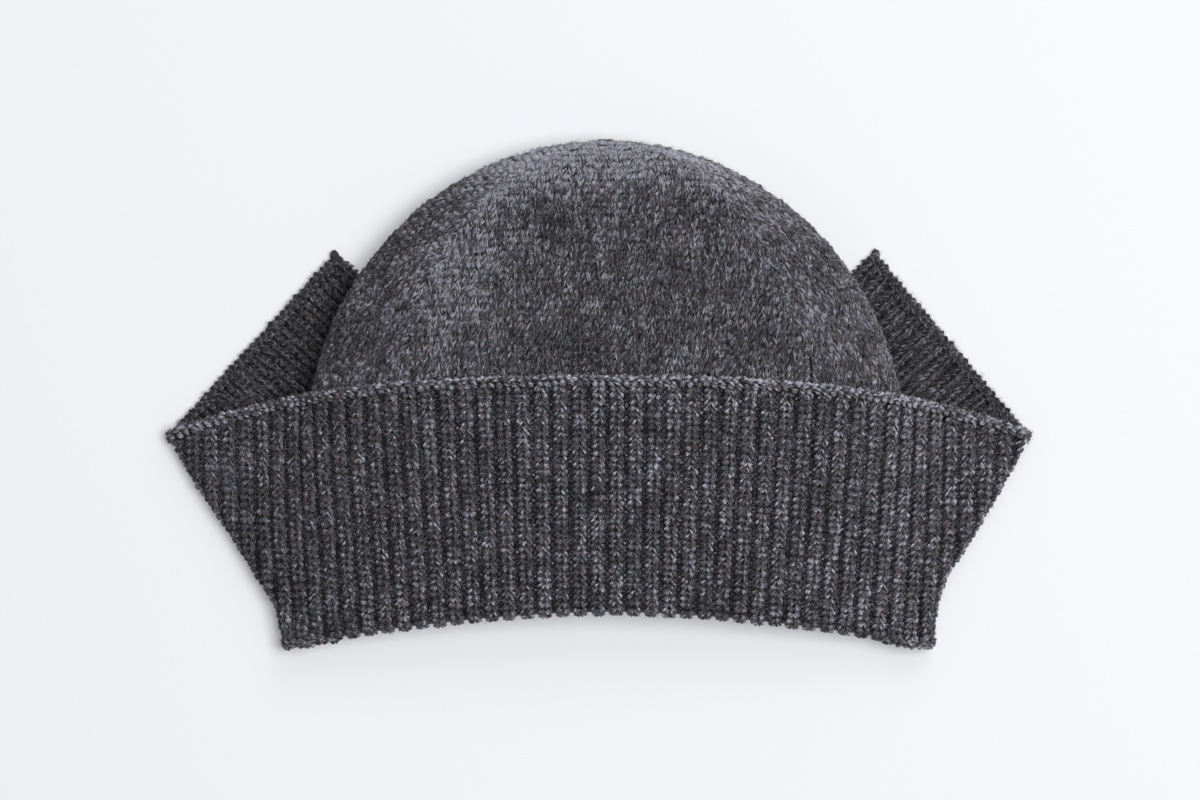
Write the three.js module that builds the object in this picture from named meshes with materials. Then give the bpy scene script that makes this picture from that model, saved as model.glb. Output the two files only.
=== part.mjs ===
// A knitted earflap hat: a soft jersey crown with a wide ribbed ear-flap band.
// It lies on its back on a table. The band is turned up over the front of the crown, folds over
// at each side, and its two ends, the ear flaps, lie flat on the table behind the crown.
// Frame: +X to the right as seen from above, +Y towards the top of the crown, +Z up, table at z = 0.
// All lengths are in millimetres.
import * as THREE from "three";

// Crown: the outline seen from above is half an ellipse that flares a little towards the hem.
const CROWN = {
  axisX: 2.8,
  shoulderY: -20,
  halfWidth: 112,
  rise: 116,
  hemCornerY: -86.5,
  flare: 3.5,
  wall: 2.6,
};

// Crown section: a puffed front layer over a back layer that lies flat on whatever is under it.
const PUFF = {
  topLevel: 37,
  slopeStartY: 20,
  hemDrop: 20,
  hemDropPower: 1.4,
  edgeLevel: 12,
  edgeLevelAtHem: 7,
  roofPower: 2.5,
  underPower: 6,
  apexFullness: 0.62,
  underFullness: 0.4,
};

// Hem: both layers are cut in an arch, the back one higher than the front one.
const HEM = { frontMiddleY: -75.5, frontPower: 2.2, backMiddleY: -58, backPower: 3.4 };

// Band: one strip of 1x1 rib of even width, hemmed to the front half of the crown's mouth.
const BAND = {
  thickness: 3,
  turnRadius: 3.6,
  lip: 8,
  foldBulge: 2.5,
  crownGap: 2.7,
  edgeLift: 1.6,
  tentDrop: 3,
  tentPower: 3.6,
  tentReachAtHem: 1.06,
  tentReachAtEdge: 1.16,
  tentReachGrowth: 0.6,
  lowLevelAtHem: 9.4,
  lowLevelAtEdge: 6.6,
  hemLineMiddleY: -81.4,
  hemLineSag: 13.2,
  edgeLineMiddleY: 7.9,
  edgeLineSag: 19.7,
  edgeLinePower: 2.8,
};

// The side folds: how far out each one stands at a share t of the band's width, hem to free edge.
const SIDE_FOLDS = [
  { t: 0.0, left: 114.5, right: 121.5 },
  { t: 0.2, left: 118.0, right: 124.3 },
  { t: 0.35, left: 126.0, right: 128.7 },
  { t: 0.5, left: 133.5, right: 137.0 },
  { t: 0.75, left: 147.5, right: 149.0 },
  { t: 1.0, left: 159.5, right: 160.0 },
];

// The ear flaps: where each end edge of the strip lies, at its free-edge and hem-edge corners.
const FLAP_ENDS = {
  left: { freeX: -98.6, freeY: 54.4, hemX: -33.5, hemY: -7.5 },
  right: { freeX: 103.9, freeY: 54.8, hemX: 40.5, hemY: -10 },
};

// Dents and ridges of the crown's front: place, height and reach of each soft bump.
const RELIEF = [
  { x: -9, y: 18, rise: -4.0, reachX: 36, reachY: 9 },
  { x: 20, y: 42, rise: -2.0, reachX: 24, reachY: 18 },
  { x: -71, y: 10, rise: 2.4, reachX: 13, reachY: 22 },
  { x: -65, y: 42, rise: 2.2, reachX: 13, reachY: 20 },
  { x: -45, y: 70, rise: 2.0, reachX: 14, reachY: 14 },
  { x: -92, y: 22, rise: -1.6, reachX: 10, reachY: 26 },
  { x: 62, y: 66, rise: 1.8, reachX: 18, reachY: 16 },
  { x: 84, y: 34, rise: 1.6, reachX: 14, reachY: 24 },
];

// Fineness of the facets.
const CROWN_ROUND_STEPS = 52;
const CROWN_RINGS = 18;
const FLAP_STEPS = 3;
const FOLD_STEPS = 6;
const FRONT_STEPS = 42;
const LIP_STEPS = 2;
const TURN_STEPS = 6;
const WIDTH_STEPS = 17;

const BAND_WIDTH = BAND.edgeLineMiddleY - BAND.hemLineMiddleY;
const REST_GAP = 0.4;
const SAG_START = 3;
const SAG_END = 26;

// How the layers blend: the fall of the front layer beyond its side fold for each share of the
// half width, and how softly the strip passes from lying on the crown to hanging beside it.
const FALL_BEYOND_FOLD = 40;
const TENT_BLEND = 1.2;

// The turn under the hem fades towards the corners, from this share of the half width outwards,
// and the lip past the turn is there only where the turn is at least nearly whole.
const TURN_FADE_START = 0.8;
const LIP_START = 0.9;

// Spacing of the facets: columns are closer at the sides, and flap rows closer near the hem edge.
const COLUMN_CROWDING = 0.3;
const ROW_CROWDING = 1.6;

// Shares of the strip's width over which its slope is measured, at the hem and at a side fold.
const HEM_SLOPE_STEP = 0.04;
const FOLD_SLOPE_STEP = 0.02;

const YARN_GREY = 0x46464b;
const RIB_GREY = 0x424246;

const clamp01 = (value) => Math.min(1, Math.max(0, value));
const mix = (from, to, share) => from + (to - from) * share;

function smooth(low, high, value) {
  const share = clamp01((value - low) / (high - low));
  return share * share * (3 - 2 * share);
}

function smoothMax(a, b, blend) {
  return (a + b + Math.sqrt((a - b) ** 2 + blend ** 2)) / 2;
}

// Value of a table's column at t, with straight runs between its rows.
function tableAt(rows, column, t) {
  const next = Math.max(1, rows.findIndex((row) => row.t >= t));
  const low = rows[next - 1];
  const high = rows[next];
  return mix(low[column], high[column], clamp01((t - low.t) / (high.t - low.t)));
}

// Share of the way from the shoulder line down to the hem, 0 above the shoulder line.
function skirtShare(y) {
  return Math.max(0, (CROWN.shoulderY - y) / (CROWN.shoulderY - CROWN.hemCornerY));
}

// Share of the way down the front layer's slope, from the slope's start to the hem's corners.
function slopeShare(y) {
  return Math.max(0, (PUFF.slopeStartY - y) / (PUFF.slopeStartY - CROWN.hemCornerY));
}

// 1 up to the shoulder line, then falling to 0 at the apex. An inset surface has a lower apex.
function domeShare(y, inset) {
  const share = Math.max(0, (y - CROWN.shoulderY) / (CROWN.rise - inset));
  return Math.sqrt(Math.max(0, 1 - share * share));
}

function halfWidth(y, inset) {
  return (CROWN.halfWidth - inset) * domeShare(y, inset) + CROWN.flare * skirtShare(y) ** 2;
}

// Height of the side fold, where the front layer turns into the back layer.
function edgeLevel(y) {
  return mix(PUFF.edgeLevelAtHem, PUFF.edgeLevel, smooth(CROWN.hemCornerY, CROWN.shoulderY, y));
}

function ridgeLevel(y, inset) {
  const full = PUFF.topLevel - PUFF.hemDrop * slopeShare(y) ** PUFF.hemDropPower - inset;
  return mix(edgeLevel(y), full, domeShare(y, inset) ** PUFF.apexFullness);
}

function reliefAt(x, y) {
  let total = 0;
  for (const bump of RELIEF) {
    const across = (x - bump.x) / bump.reachX;
    const along = (y - bump.y) / bump.reachY;
    total += bump.rise * Math.exp(-across * across - along * along);
  }
  return total;
}

// Height of the front layer, on the surface that lies an inset inside the knit's outer face.
// Beyond the side fold it runs on steeply downwards, so that cloth over it can blend into it.
function roofHeight(x, y, inset) {
  const reach = Math.abs(x - CROWN.axisX) / Math.max(halfWidth(y, inset), 1e-6);
  const edge = edgeLevel(y);
  if (reach >= 1) return edge - FALL_BEYOND_FOLD * (reach - 1);
  const roll = Math.sqrt(1 - reach ** PUFF.roofPower);
  return mix(edge, ridgeLevel(y, inset), roll) + reliefAt(x, y) * roll * domeShare(y, inset);
}

// Corners of an ear flap on the table, counter-clockwise seen from above.
function flapCorners(side) {
  const sign = side === "left" ? -1 : 1;
  const end = FLAP_ENDS[side];
  const corners = [
    [foldX(sign, 0), frontY(sign, 0)],
    [end.hemX, end.hemY],
    [end.freeX, end.freeY],
    [foldX(sign, 1), frontY(sign, 1)],
  ];
  return side === "left" ? corners : corners.reverse();
}

// How far a point lies outside a flap, 0 or less when it is over it.
function outsideFlap(x, y, corners) {
  let farthest = -Infinity;
  corners.forEach(([ax, ay], index) => {
    const [bx, by] = corners[(index + 1) % corners.length];
    const length = Math.hypot(bx - ax, by - ay);
    farthest = Math.max(farthest, ((by - ay) * (x - ax) - (bx - ax) * (y - ay)) / length);
  });
  return farthest;
}

// What the back layer lies on: the flaps where it crosses them, the table between them.
function bedLevel(x, y) {
  const outside = Math.min(
    outsideFlap(x, y, flapCorners("left")),
    outsideFlap(x, y, flapCorners("right")),
  );
  return mix(BAND.thickness + REST_GAP, 0, smooth(SAG_START, SAG_END, outside));
}

function underHeight(x, y, inset) {
  const reach = clamp01(Math.abs(x - CROWN.axisX) / Math.max(halfWidth(y, inset), 1e-6));
  const edge = edgeLevel(y);
  const flat = Math.sqrt(1 - reach ** PUFF.underPower) * domeShare(y, inset) ** PUFF.underFullness;
  return mix(edge, bedLevel(x, y) + inset, flat);
}

// Where a meridian of the crown starts: reach is -1 to 1 across, front or back layer.
function hemY(reach, isFront) {
  const middle = isFront ? HEM.frontMiddleY : HEM.backMiddleY;
  const power = isFront ? HEM.frontPower : HEM.backPower;
  return mix(middle, CROWN.hemCornerY, Math.abs(reach) ** power);
}

function crownPoint(turn, climb, inset) {
  const reach = Math.cos(turn);
  const isFront = Math.sin(turn) >= 0;
  const apexY = CROWN.shoulderY + CROWN.rise - inset;
  const y = mix(hemY(reach, isFront), apexY, Math.sin((climb * Math.PI) / 2));
  const x = CROWN.axisX + reach * halfWidth(y, inset);
  const z = isFront ? roofHeight(x, y, inset) : underHeight(x, y, inset);
  return [x, y, z];
}

// Closed mesh from rows of points: indices are shared, so that the solid has no open seams.
class Shell {
  constructor() {
    this.points = [];
    this.faces = [];
  }

  add(point) {
    this.points.push(...point);
    return this.points.length / 3 - 1;
  }

  quad(a, b, c, d) {
    this.faces.push(a, b, c, a, c, d);
  }

  triangle(a, b, c) {
    this.faces.push(a, b, c);
  }

  mesh(name, material) {
    const geometry = new THREE.BufferGeometry();
    geometry.setAttribute("position", new THREE.Float32BufferAttribute(this.points, 3));
    geometry.setIndex(this.faces);
    geometry.computeVertexNormals();
    const mesh = new THREE.Mesh(geometry, material);
    mesh.name = name;
    return mesh;
  }
}

function buildCrown(material) {
  const shell = new Shell();
  const skins = [0, CROWN.wall].map((inset) => {
    const rings = [];
    for (let ring = 0; ring < CROWN_RINGS; ring += 1) {
      const row = [];
      for (let step = 0; step < CROWN_ROUND_STEPS; step += 1) {
        const turn = (2 * Math.PI * step) / CROWN_ROUND_STEPS;
        row.push(shell.add(crownPoint(turn, ring / CROWN_RINGS, inset)));
      }
      rings.push(row);
    }
    const apexY = CROWN.shoulderY + CROWN.rise - inset;
    return { rings, apex: shell.add([CROWN.axisX, apexY, PUFF.edgeLevel]) };
  });
  const [outer, inner] = skins;
  const last = CROWN_RINGS - 1;
  for (let step = 0; step < CROWN_ROUND_STEPS; step += 1) {
    const next = (step + 1) % CROWN_ROUND_STEPS;
    for (let ring = 0; ring < last; ring += 1) {
      const [low, high] = [outer.rings[ring], outer.rings[ring + 1]];
      shell.quad(low[next], low[step], high[step], high[next]);
      const [lowIn, highIn] = [inner.rings[ring], inner.rings[ring + 1]];
      shell.quad(lowIn[step], lowIn[next], highIn[next], highIn[step]);
    }
    shell.triangle(outer.rings[last][next], outer.rings[last][step], outer.apex);
    shell.triangle(inner.rings[last][step], inner.rings[last][next], inner.apex);
    shell.quad(outer.rings[0][step], outer.rings[0][next], inner.rings[0][next], inner.rings[0][step]);
  }
  return shell.mesh("crown", material);
}

function foldX(sign, t) {
  return sign * tableAt(SIDE_FOLDS, sign < 0 ? "left" : "right", t);
}

// How much of the turn under the crown's hem the strip makes: all of it but for the corners.
function turnShare(across) {
  return 1 - smooth(TURN_FADE_START, 1, Math.abs(across));
}

function frontY(across, t) {
  const turned = Math.sin((Math.PI / 2) * clamp01(2 * turnShare(across)));
  const lowest = BAND.hemLineMiddleY - BAND.hemLineSag * across * across;
  const bottom = lowest + (BAND.turnRadius + BAND.thickness / 2) * turned;
  const top = BAND.edgeLineMiddleY - BAND.edgeLineSag * Math.abs(across) ** BAND.edgeLinePower;
  return mix(bottom, top, t);
}

// Middle of the strip's cloth in front: it lies over the crown and hangs like a tent beside it.
function frontPoint(across, t) {
  const x = mix(foldX(-1, t), foldX(1, t), (across + 1) / 2);
  const y = frontY(across, t);
  const gap = BAND.crownGap + BAND.edgeLift * t * t;
  const low = mix(BAND.lowLevelAtHem, BAND.lowLevelAtEdge, t);
  const tentReach = mix(BAND.tentReachAtHem, BAND.tentReachAtEdge, smooth(0, BAND.tentReachGrowth, t));
  const reach = Math.abs(x - CROWN.axisX) / halfWidth(y, 0);
  const tentTop = ridgeLevel(y, -gap) + reliefAt(x, y) - BAND.tentDrop;
  const tent = mix(low, tentTop, Math.max(0, 1 - (reach / tentReach) ** BAND.tentPower));
  return [x, y, smoothMax(roofHeight(x, y, -gap), tent, TENT_BLEND)];
}

// The strip below its hem line: it turns under the crown's hem and ends in a short lip inside.
function turnedPoint(across, depth) {
  const [x, y, z] = frontPoint(across, 0);
  const [aheadX, aheadY, aheadZ] = frontPoint(across, HEM_SLOPE_STEP);
  const down = new THREE.Vector3(x - aheadX, y - aheadY, z - aheadZ).normalize();
  const side = new THREE.Vector3(1, 0, 0);
  const inward = new THREE.Vector3().crossVectors(down, side).normalize();
  if (inward.z > 0) inward.negate();
  const radius = BAND.turnRadius;
  const angle = Math.min(depth / radius, Math.PI);
  const lip = Math.max(0, depth - Math.PI * radius);
  const point = new THREE.Vector3(x, y, z);
  point.addScaledVector(down, radius * Math.sin(angle) - lip);
  point.addScaledVector(inward, radius * (1 - Math.cos(angle)));
  return point.toArray();
}

// The strip's middle as it folds over at a side, turn 0 in front to 1 on the table.
function foldPoint(sign, turn, t) {
  const [x, y, z] = frontPoint(sign, t);
  const lowT = Math.max(0, t - FOLD_SLOPE_STEP);
  const highT = Math.min(1, t + FOLD_SLOPE_STEP);
  const alongX = foldX(sign, highT) - foldX(sign, lowT);
  const alongY = frontY(sign, highT) - frontY(sign, lowT);
  const length = Math.hypot(alongX, alongY);
  const bulge = BAND.foldBulge * Math.sin(Math.PI * turn);
  const table = BAND.thickness / 2;
  return [
    x + ((sign * alongY) / length) * bulge,
    y - ((sign * alongX) / length) * bulge,
    mix(table, z, (1 + Math.cos(Math.PI * turn)) / 2),
  ];
}

// The flap's middle on the table, share 0 at the side fold to 1 at the strip's end.
function flapPoint(sign, share, t) {
  const end = sign < 0 ? FLAP_ENDS.left : FLAP_ENDS.right;
  const [x, y, z] = foldPoint(sign, 1, t);
  const endX = mix(end.hemX, end.freeX, t);
  const endY = mix(end.hemY, end.freeY, t);
  return [mix(x, endX, share), mix(y, endY, share), z];
}

// The strip's columns in order, from the left flap's end to the right flap's end.
function bandColumns() {
  const columns = [];
  for (const sign of [-1, 1]) {
    const half = [];
    for (let step = FLAP_STEPS; step > 0; step -= 1) {
      half.push({ across: sign, point: (t) => flapPoint(sign, step / FLAP_STEPS, t) });
    }
    for (let step = FOLD_STEPS; step > 0; step -= 1) {
      half.push({ across: sign, point: (t) => foldPoint(sign, step / FOLD_STEPS, t) });
    }
    if (sign < 0) {
      columns.push(...half);
      for (let step = 0; step <= FRONT_STEPS; step += 1) {
        const even = (2 * step) / FRONT_STEPS - 1;
        const across = even * (1 + COLUMN_CROWDING * (1 - even * even));
        columns.push({ across, point: (t) => frontPoint(across, t) });
      }
    } else {
      columns.push(...half.reverse());
    }
  }
  return columns;
}

// Where a row of points lies across a column: below 0 in the turn and the lip, 1 at the free edge.
// Lip, turn and front have rows of their own in front, and a flap has them all on its flat cloth.
function rowPlace(step, share) {
  const turn = share * Math.PI * BAND.turnRadius;
  const lip = BAND.lip * smooth(LIP_START, 1, share);
  const flapPlace = BAND_WIDTH * (step / WIDTH_STEPS) ** ROW_CROWDING;
  const frontStart = LIP_STEPS + TURN_STEPS;
  let frontPlace = (BAND_WIDTH * (step - frontStart)) / (WIDTH_STEPS - frontStart);
  if (step < frontStart) frontPlace = -turn * (1 - (step - LIP_STEPS) / TURN_STEPS);
  if (step < LIP_STEPS) frontPlace = -turn - lip * (1 - step / LIP_STEPS);
  return mix(flapPlace, frontPlace, share);
}

// One column's points, from the strip's lower edge or lip up to its free edge.
function columnPoints(column) {
  const share = turnShare(column.across);
  const points = [];
  for (let step = 0; step <= WIDTH_STEPS; step += 1) {
    const place = rowPlace(step, share);
    points.push(place < 0 ? turnedPoint(column.across, -place) : column.point(place / BAND_WIDTH));
  }
  return points.map((point) => new THREE.Vector3(...point));
}

// Cloth of even thickness on both sides of a grid of points that run along its middle.
function buildBand(material) {
  const grid = bandColumns().map(columnPoints);
  const lastColumn = grid.length - 1;
  const shell = new Shell();
  const faces = [BAND.thickness / 2, -BAND.thickness / 2].map((offset) =>
    grid.map((column, i) =>
      column.map((point, j) => {
        const before = grid[Math.max(0, i - 1)][j];
        const after = grid[Math.min(lastColumn, i + 1)][j];
        const below = column[Math.max(0, j - 1)];
        const above = column[Math.min(WIDTH_STEPS, j + 1)];
        const along = new THREE.Vector3().subVectors(after, before);
        const up = new THREE.Vector3().subVectors(above, below);
        const normal = new THREE.Vector3().crossVectors(along, up).normalize();
        return shell.add(point.clone().addScaledVector(normal, offset).toArray());
      }),
    ),
  );
  const [outer, inner] = faces;
  for (let i = 0; i < lastColumn; i += 1) {
    for (let j = 0; j < WIDTH_STEPS; j += 1) {
      shell.quad(outer[i][j], outer[i + 1][j], outer[i + 1][j + 1], outer[i][j + 1]);
      shell.quad(inner[i + 1][j], inner[i][j], inner[i][j + 1], inner[i + 1][j + 1]);
    }
    shell.quad(inner[i][0], inner[i + 1][0], outer[i + 1][0], outer[i][0]);
    const top = WIDTH_STEPS;
    shell.quad(outer[i][top], outer[i + 1][top], inner[i + 1][top], inner[i][top]);
  }
  for (let j = 0; j < WIDTH_STEPS; j += 1) {
    shell.quad(outer[0][j], outer[0][j + 1], inner[0][j + 1], inner[0][j]);
    const end = lastColumn;
    shell.quad(inner[end][j], inner[end][j + 1], outer[end][j + 1], outer[end][j]);
  }
  return shell.mesh("ear_flap_band", material);
}

const jersey = new THREE.MeshStandardMaterial({ color: YARN_GREY, roughness: 0.95, metalness: 0 });
const rib = new THREE.MeshStandardMaterial({ color: RIB_GREY, roughness: 0.95, metalness: 0 });

const hat = new THREE.Group();
hat.add(buildCrown(jersey), buildBand(rib));

// The origin is the middle of the hat's footprint on the table.
const box = new THREE.Box3().setFromObject(hat);
const middle = box.getCenter(new THREE.Vector3());
for (const piece of hat.children) piece.geometry.translate(-middle.x, -middle.y, -box.min.z);

export default hat;
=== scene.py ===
"""The looks of a knitted earflap hat that lies on its back on a pale table.

The crown is plain jersey knit and the wide turned-up band is 1x1 rib. Both are a thin cloth,
dark as painted shade between the stitches, that carries every stitch as two legs of plied yarn,
with loose fibres over them. Shapes are worked out in millimetres in the hat's own axes: +X right,
+Y towards the top of the crown, +Z up from the table.
"""

import logging
import math
from dataclasses import dataclass, field, replace
from enum import Enum
from typing import ClassVar

import bpy
import numpy as np
from mathutils import Matrix, Vector


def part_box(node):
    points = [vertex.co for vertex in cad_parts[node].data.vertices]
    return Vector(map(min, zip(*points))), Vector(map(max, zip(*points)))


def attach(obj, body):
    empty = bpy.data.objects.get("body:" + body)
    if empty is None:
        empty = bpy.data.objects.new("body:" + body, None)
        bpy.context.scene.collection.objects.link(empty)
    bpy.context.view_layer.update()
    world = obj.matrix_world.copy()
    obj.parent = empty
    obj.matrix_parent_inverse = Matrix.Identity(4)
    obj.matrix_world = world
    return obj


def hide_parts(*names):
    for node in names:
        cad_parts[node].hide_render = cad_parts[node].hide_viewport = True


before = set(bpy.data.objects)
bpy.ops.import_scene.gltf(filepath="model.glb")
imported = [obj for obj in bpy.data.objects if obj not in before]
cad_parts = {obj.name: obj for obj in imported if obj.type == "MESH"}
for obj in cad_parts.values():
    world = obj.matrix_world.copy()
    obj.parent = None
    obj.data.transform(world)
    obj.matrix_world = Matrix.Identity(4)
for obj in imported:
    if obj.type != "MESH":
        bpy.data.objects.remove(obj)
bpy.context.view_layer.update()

log = logging.getLogger("hat")

MM = 0.001
BODY = "root"
Array = np.ndarray


def mix(low: Array, high: Array, share: Array) -> Array:
    """Value a share of the way from low to high."""
    return low + (high - low) * share


def smooth(low: float, high: float, value: Array) -> Array:
    """Smooth step from 0 at low to 1 at high."""
    share = np.clip((value - low) / (high - low), 0.0, 1.0)
    return share * share * (3 - 2 * share)


def smooth_max(a: Array, b: Array, blend: float) -> Array:
    """Larger of two values, rounded where they cross."""
    return (a + b + np.sqrt((a - b) ** 2 + blend**2)) / 2


def unit(vectors: Array) -> Array:
    """Vectors of length 1."""
    return vectors / np.maximum(np.linalg.norm(vectors, axis=-1, keepdims=True), 1e-9)


def arc_lengths(points: Array) -> Array:
    """Distance along a line of points, 0 at its first one."""
    steps = np.linalg.norm(np.diff(points, axis=0), axis=1)
    return np.concatenate([[0.0], np.cumsum(steps)])


def along_line(places: Array, at: Array, points: Array) -> Array:
    """Points at the given places of a line.

    Args:
        places: where points are wanted, on the line's own measure.
        at: the measure of each known point, rising.
        points: the known points.

    Returns:
        One point for each place.
    """
    return np.stack([np.interp(places, at, points[:, axis]) for axis in range(3)], axis=-1)


class Side(Enum):
    """A side of the hat, as the sign of its X."""

    LEFT = -1
    RIGHT = 1


class Layer(Enum):
    """The front or the back layer of the flattened crown."""

    FRONT = "front"
    BACK = "back"


@dataclass(frozen=True)
class Bump:
    """A soft dent or ridge of the crown's front, in millimetres."""

    x: float
    y: float
    rise: float
    reach_x: float
    reach_y: float


@dataclass(frozen=True)
class CrownForm:
    """Outer face of the crown: a puffed front layer over a back layer that lies flat.

    Sizes are in millimetres. An inset is how far inside the outer face a surface lies, and
    reach is how far across a place is, from 0 at the axis to 1 at the side fold.
    """

    axis_x: float = 2.8
    shoulder_y: float = -20.0
    half_breadth: float = 112.0
    rise: float = 116.0
    hem_corner_y: float = -86.5
    flare: float = 3.5
    wall: float = 2.6
    top_level: float = 37.0
    slope_start_y: float = 20.0
    hem_drop: float = 20.0
    hem_drop_power: float = 1.4
    edge_level_top: float = 12.0
    edge_level_hem: float = 7.0
    roof_power: float = 2.5
    under_power: float = 6.0
    apex_fullness: float = 0.62
    under_fullness: float = 0.4
    hem_front_y: float = -75.5
    hem_front_power: float = 2.2
    hem_back_y: float = -58.0
    hem_back_power: float = 3.4
    fall_beyond_fold: float = 40.0
    flap_bed: float = 3.4
    sag_start: float = 3.0
    sag_end: float = 26.0
    bumps: tuple[Bump, ...] = (
        Bump(-9, 18, -4.0, 36, 9),
        Bump(20, 42, -2.0, 24, 18),
        Bump(-71, 10, 2.4, 13, 22),
        Bump(-65, 42, 2.2, 13, 20),
        Bump(-45, 70, 2.0, 14, 14),
        Bump(-92, 22, -1.6, 10, 26),
        Bump(62, 66, 1.8, 18, 16),
        Bump(84, 34, 1.6, 14, 24),
    )

    def skirt(self, y: Array) -> Array:
        """Share of the way from the shoulder line down to the hem."""
        return np.maximum(0.0, (self.shoulder_y - y) / (self.shoulder_y - self.hem_corner_y))

    def slope(self, y: Array) -> Array:
        """Share of the way down the front layer's slope towards the hem."""
        return np.maximum(0.0, (self.slope_start_y - y) / (self.slope_start_y - self.hem_corner_y))

    def dome(self, y: Array, inset: float = 0.0) -> Array:
        """1 up to the shoulder line, then falling to 0 at the apex."""
        share = np.maximum(0.0, (y - self.shoulder_y) / (self.rise - inset))
        return np.sqrt(np.maximum(0.0, 1 - share**2))

    def half_width(self, y: Array, inset: float = 0.0) -> Array:
        """Half of the crown's width at y."""
        return (self.half_breadth - inset) * self.dome(y, inset) + self.flare * self.skirt(y) ** 2

    def edge_level(self, y: Array) -> Array:
        """Height of the side fold."""
        rising = smooth(self.hem_corner_y, self.shoulder_y, y)
        return mix(self.edge_level_hem, self.edge_level_top, rising)

    def ridge_level(self, y: Array, inset: float = 0.0) -> Array:
        """Height of the front layer's middle."""
        full = self.top_level - self.hem_drop * self.slope(y) ** self.hem_drop_power - inset
        return mix(self.edge_level(y), full, self.dome(y, inset) ** self.apex_fullness)

    def relief(self, x: Array, y: Array) -> Array:
        """Sum of the dents and ridges.

        Args:
            x: places across the hat.
            y: places up the hat.

        Returns:
            How far the front layer stands out there.
        """
        total = 0.0
        for bump in self.bumps:
            across = (x - bump.x) / bump.reach_x
            along = (y - bump.y) / bump.reach_y
            total = total + bump.rise * np.exp(-across * across - along * along)
        return total

    def roof(self, x: Array, y: Array, inset: float = 0.0) -> Array:
        """Height of the front layer.

        Args:
            x: places across the hat.
            y: places up the hat.
            inset: how far inside the outer face, or outside it where negative.

        Returns:
            Heights above the table, which keep falling beyond the side fold.
        """
        reach = np.abs(x - self.axis_x) / np.maximum(self.half_width(y, inset), 1e-6)
        edge = self.edge_level(y)
        roll = np.sqrt(np.maximum(0.0, 1 - np.minimum(reach, 1.0) ** self.roof_power))
        inside = mix(edge, self.ridge_level(y, inset), roll)
        inside = inside + self.relief(x, y) * roll * self.dome(y, inset)
        return np.where(reach >= 1, edge - self.fall_beyond_fold * (reach - 1), inside)

    def bed(self, x: Array, y: Array, flaps: list[Array]) -> Array:
        """Height of what the back layer lies on, the flaps or the table between them.

        Args:
            x: places across the hat.
            y: places up the hat.
            flaps: corners of each flap, counter-clockwise.

        Returns:
            Heights above the table, sagging softly beyond a flap's outline.
        """
        outside = np.full(np.shape(x), np.inf)
        for corners in flaps:
            farthest = np.full(np.shape(x), -np.inf)
            for (ax, ay), (bx, by) in zip(corners, np.roll(corners, -1, axis=0)):
                away = ((by - ay) * (x - ax) - (bx - ax) * (y - ay)) / math.hypot(bx - ax, by - ay)
                farthest = np.maximum(farthest, away)
            outside = np.minimum(outside, farthest)
        return mix(self.flap_bed, 0.0, smooth(self.sag_start, self.sag_end, outside))

    def under(self, x: Array, y: Array, flaps: list[Array], inset: float = 0.0) -> Array:
        """Height of the back layer.

        Args:
            x: places across the hat.
            y: places up the hat.
            flaps: corners of each flap that lies under it.
            inset: how far inside the outer face.

        Returns:
            Heights above the table.
        """
        reach = np.abs(x - self.axis_x) / np.maximum(self.half_width(y, inset), 1e-6)
        flat = np.sqrt(np.maximum(0.0, 1 - np.minimum(reach, 1.0) ** self.under_power))
        flat = flat * self.dome(y, inset) ** self.under_fullness
        return mix(self.edge_level(y), self.bed(x, y, flaps) + inset, flat)

    def hem_y(self, reach: Array, layer: Layer) -> Array:
        """Where the layer's hem runs, for a reach of -1 to 1 across.

        Args:
            reach: places across, -1 to 1.
            layer: front or back layer.

        Returns:
            Y of the hem there.
        """
        front = layer is Layer.FRONT
        middle = self.hem_front_y if front else self.hem_back_y
        power = self.hem_front_power if front else self.hem_back_power
        return mix(middle, self.hem_corner_y, np.abs(reach) ** power)

    def apex(self, inset: float = 0.0) -> Array:
        """The top of the crown, where front and back layer meet."""
        return np.array([self.axis_x, self.shoulder_y + self.rise - inset, self.edge_level_top])


@dataclass(frozen=True)
class FoldRow:
    """How far out the side folds stand at a share t of the band's width, in millimetres."""

    t: float
    left: float
    right: float


@dataclass(frozen=True)
class FlapEnd:
    """Where an end edge of the strip lies: its corner on the free edge and on the hem edge."""

    free: tuple[float, float]
    hem: tuple[float, float]


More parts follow.
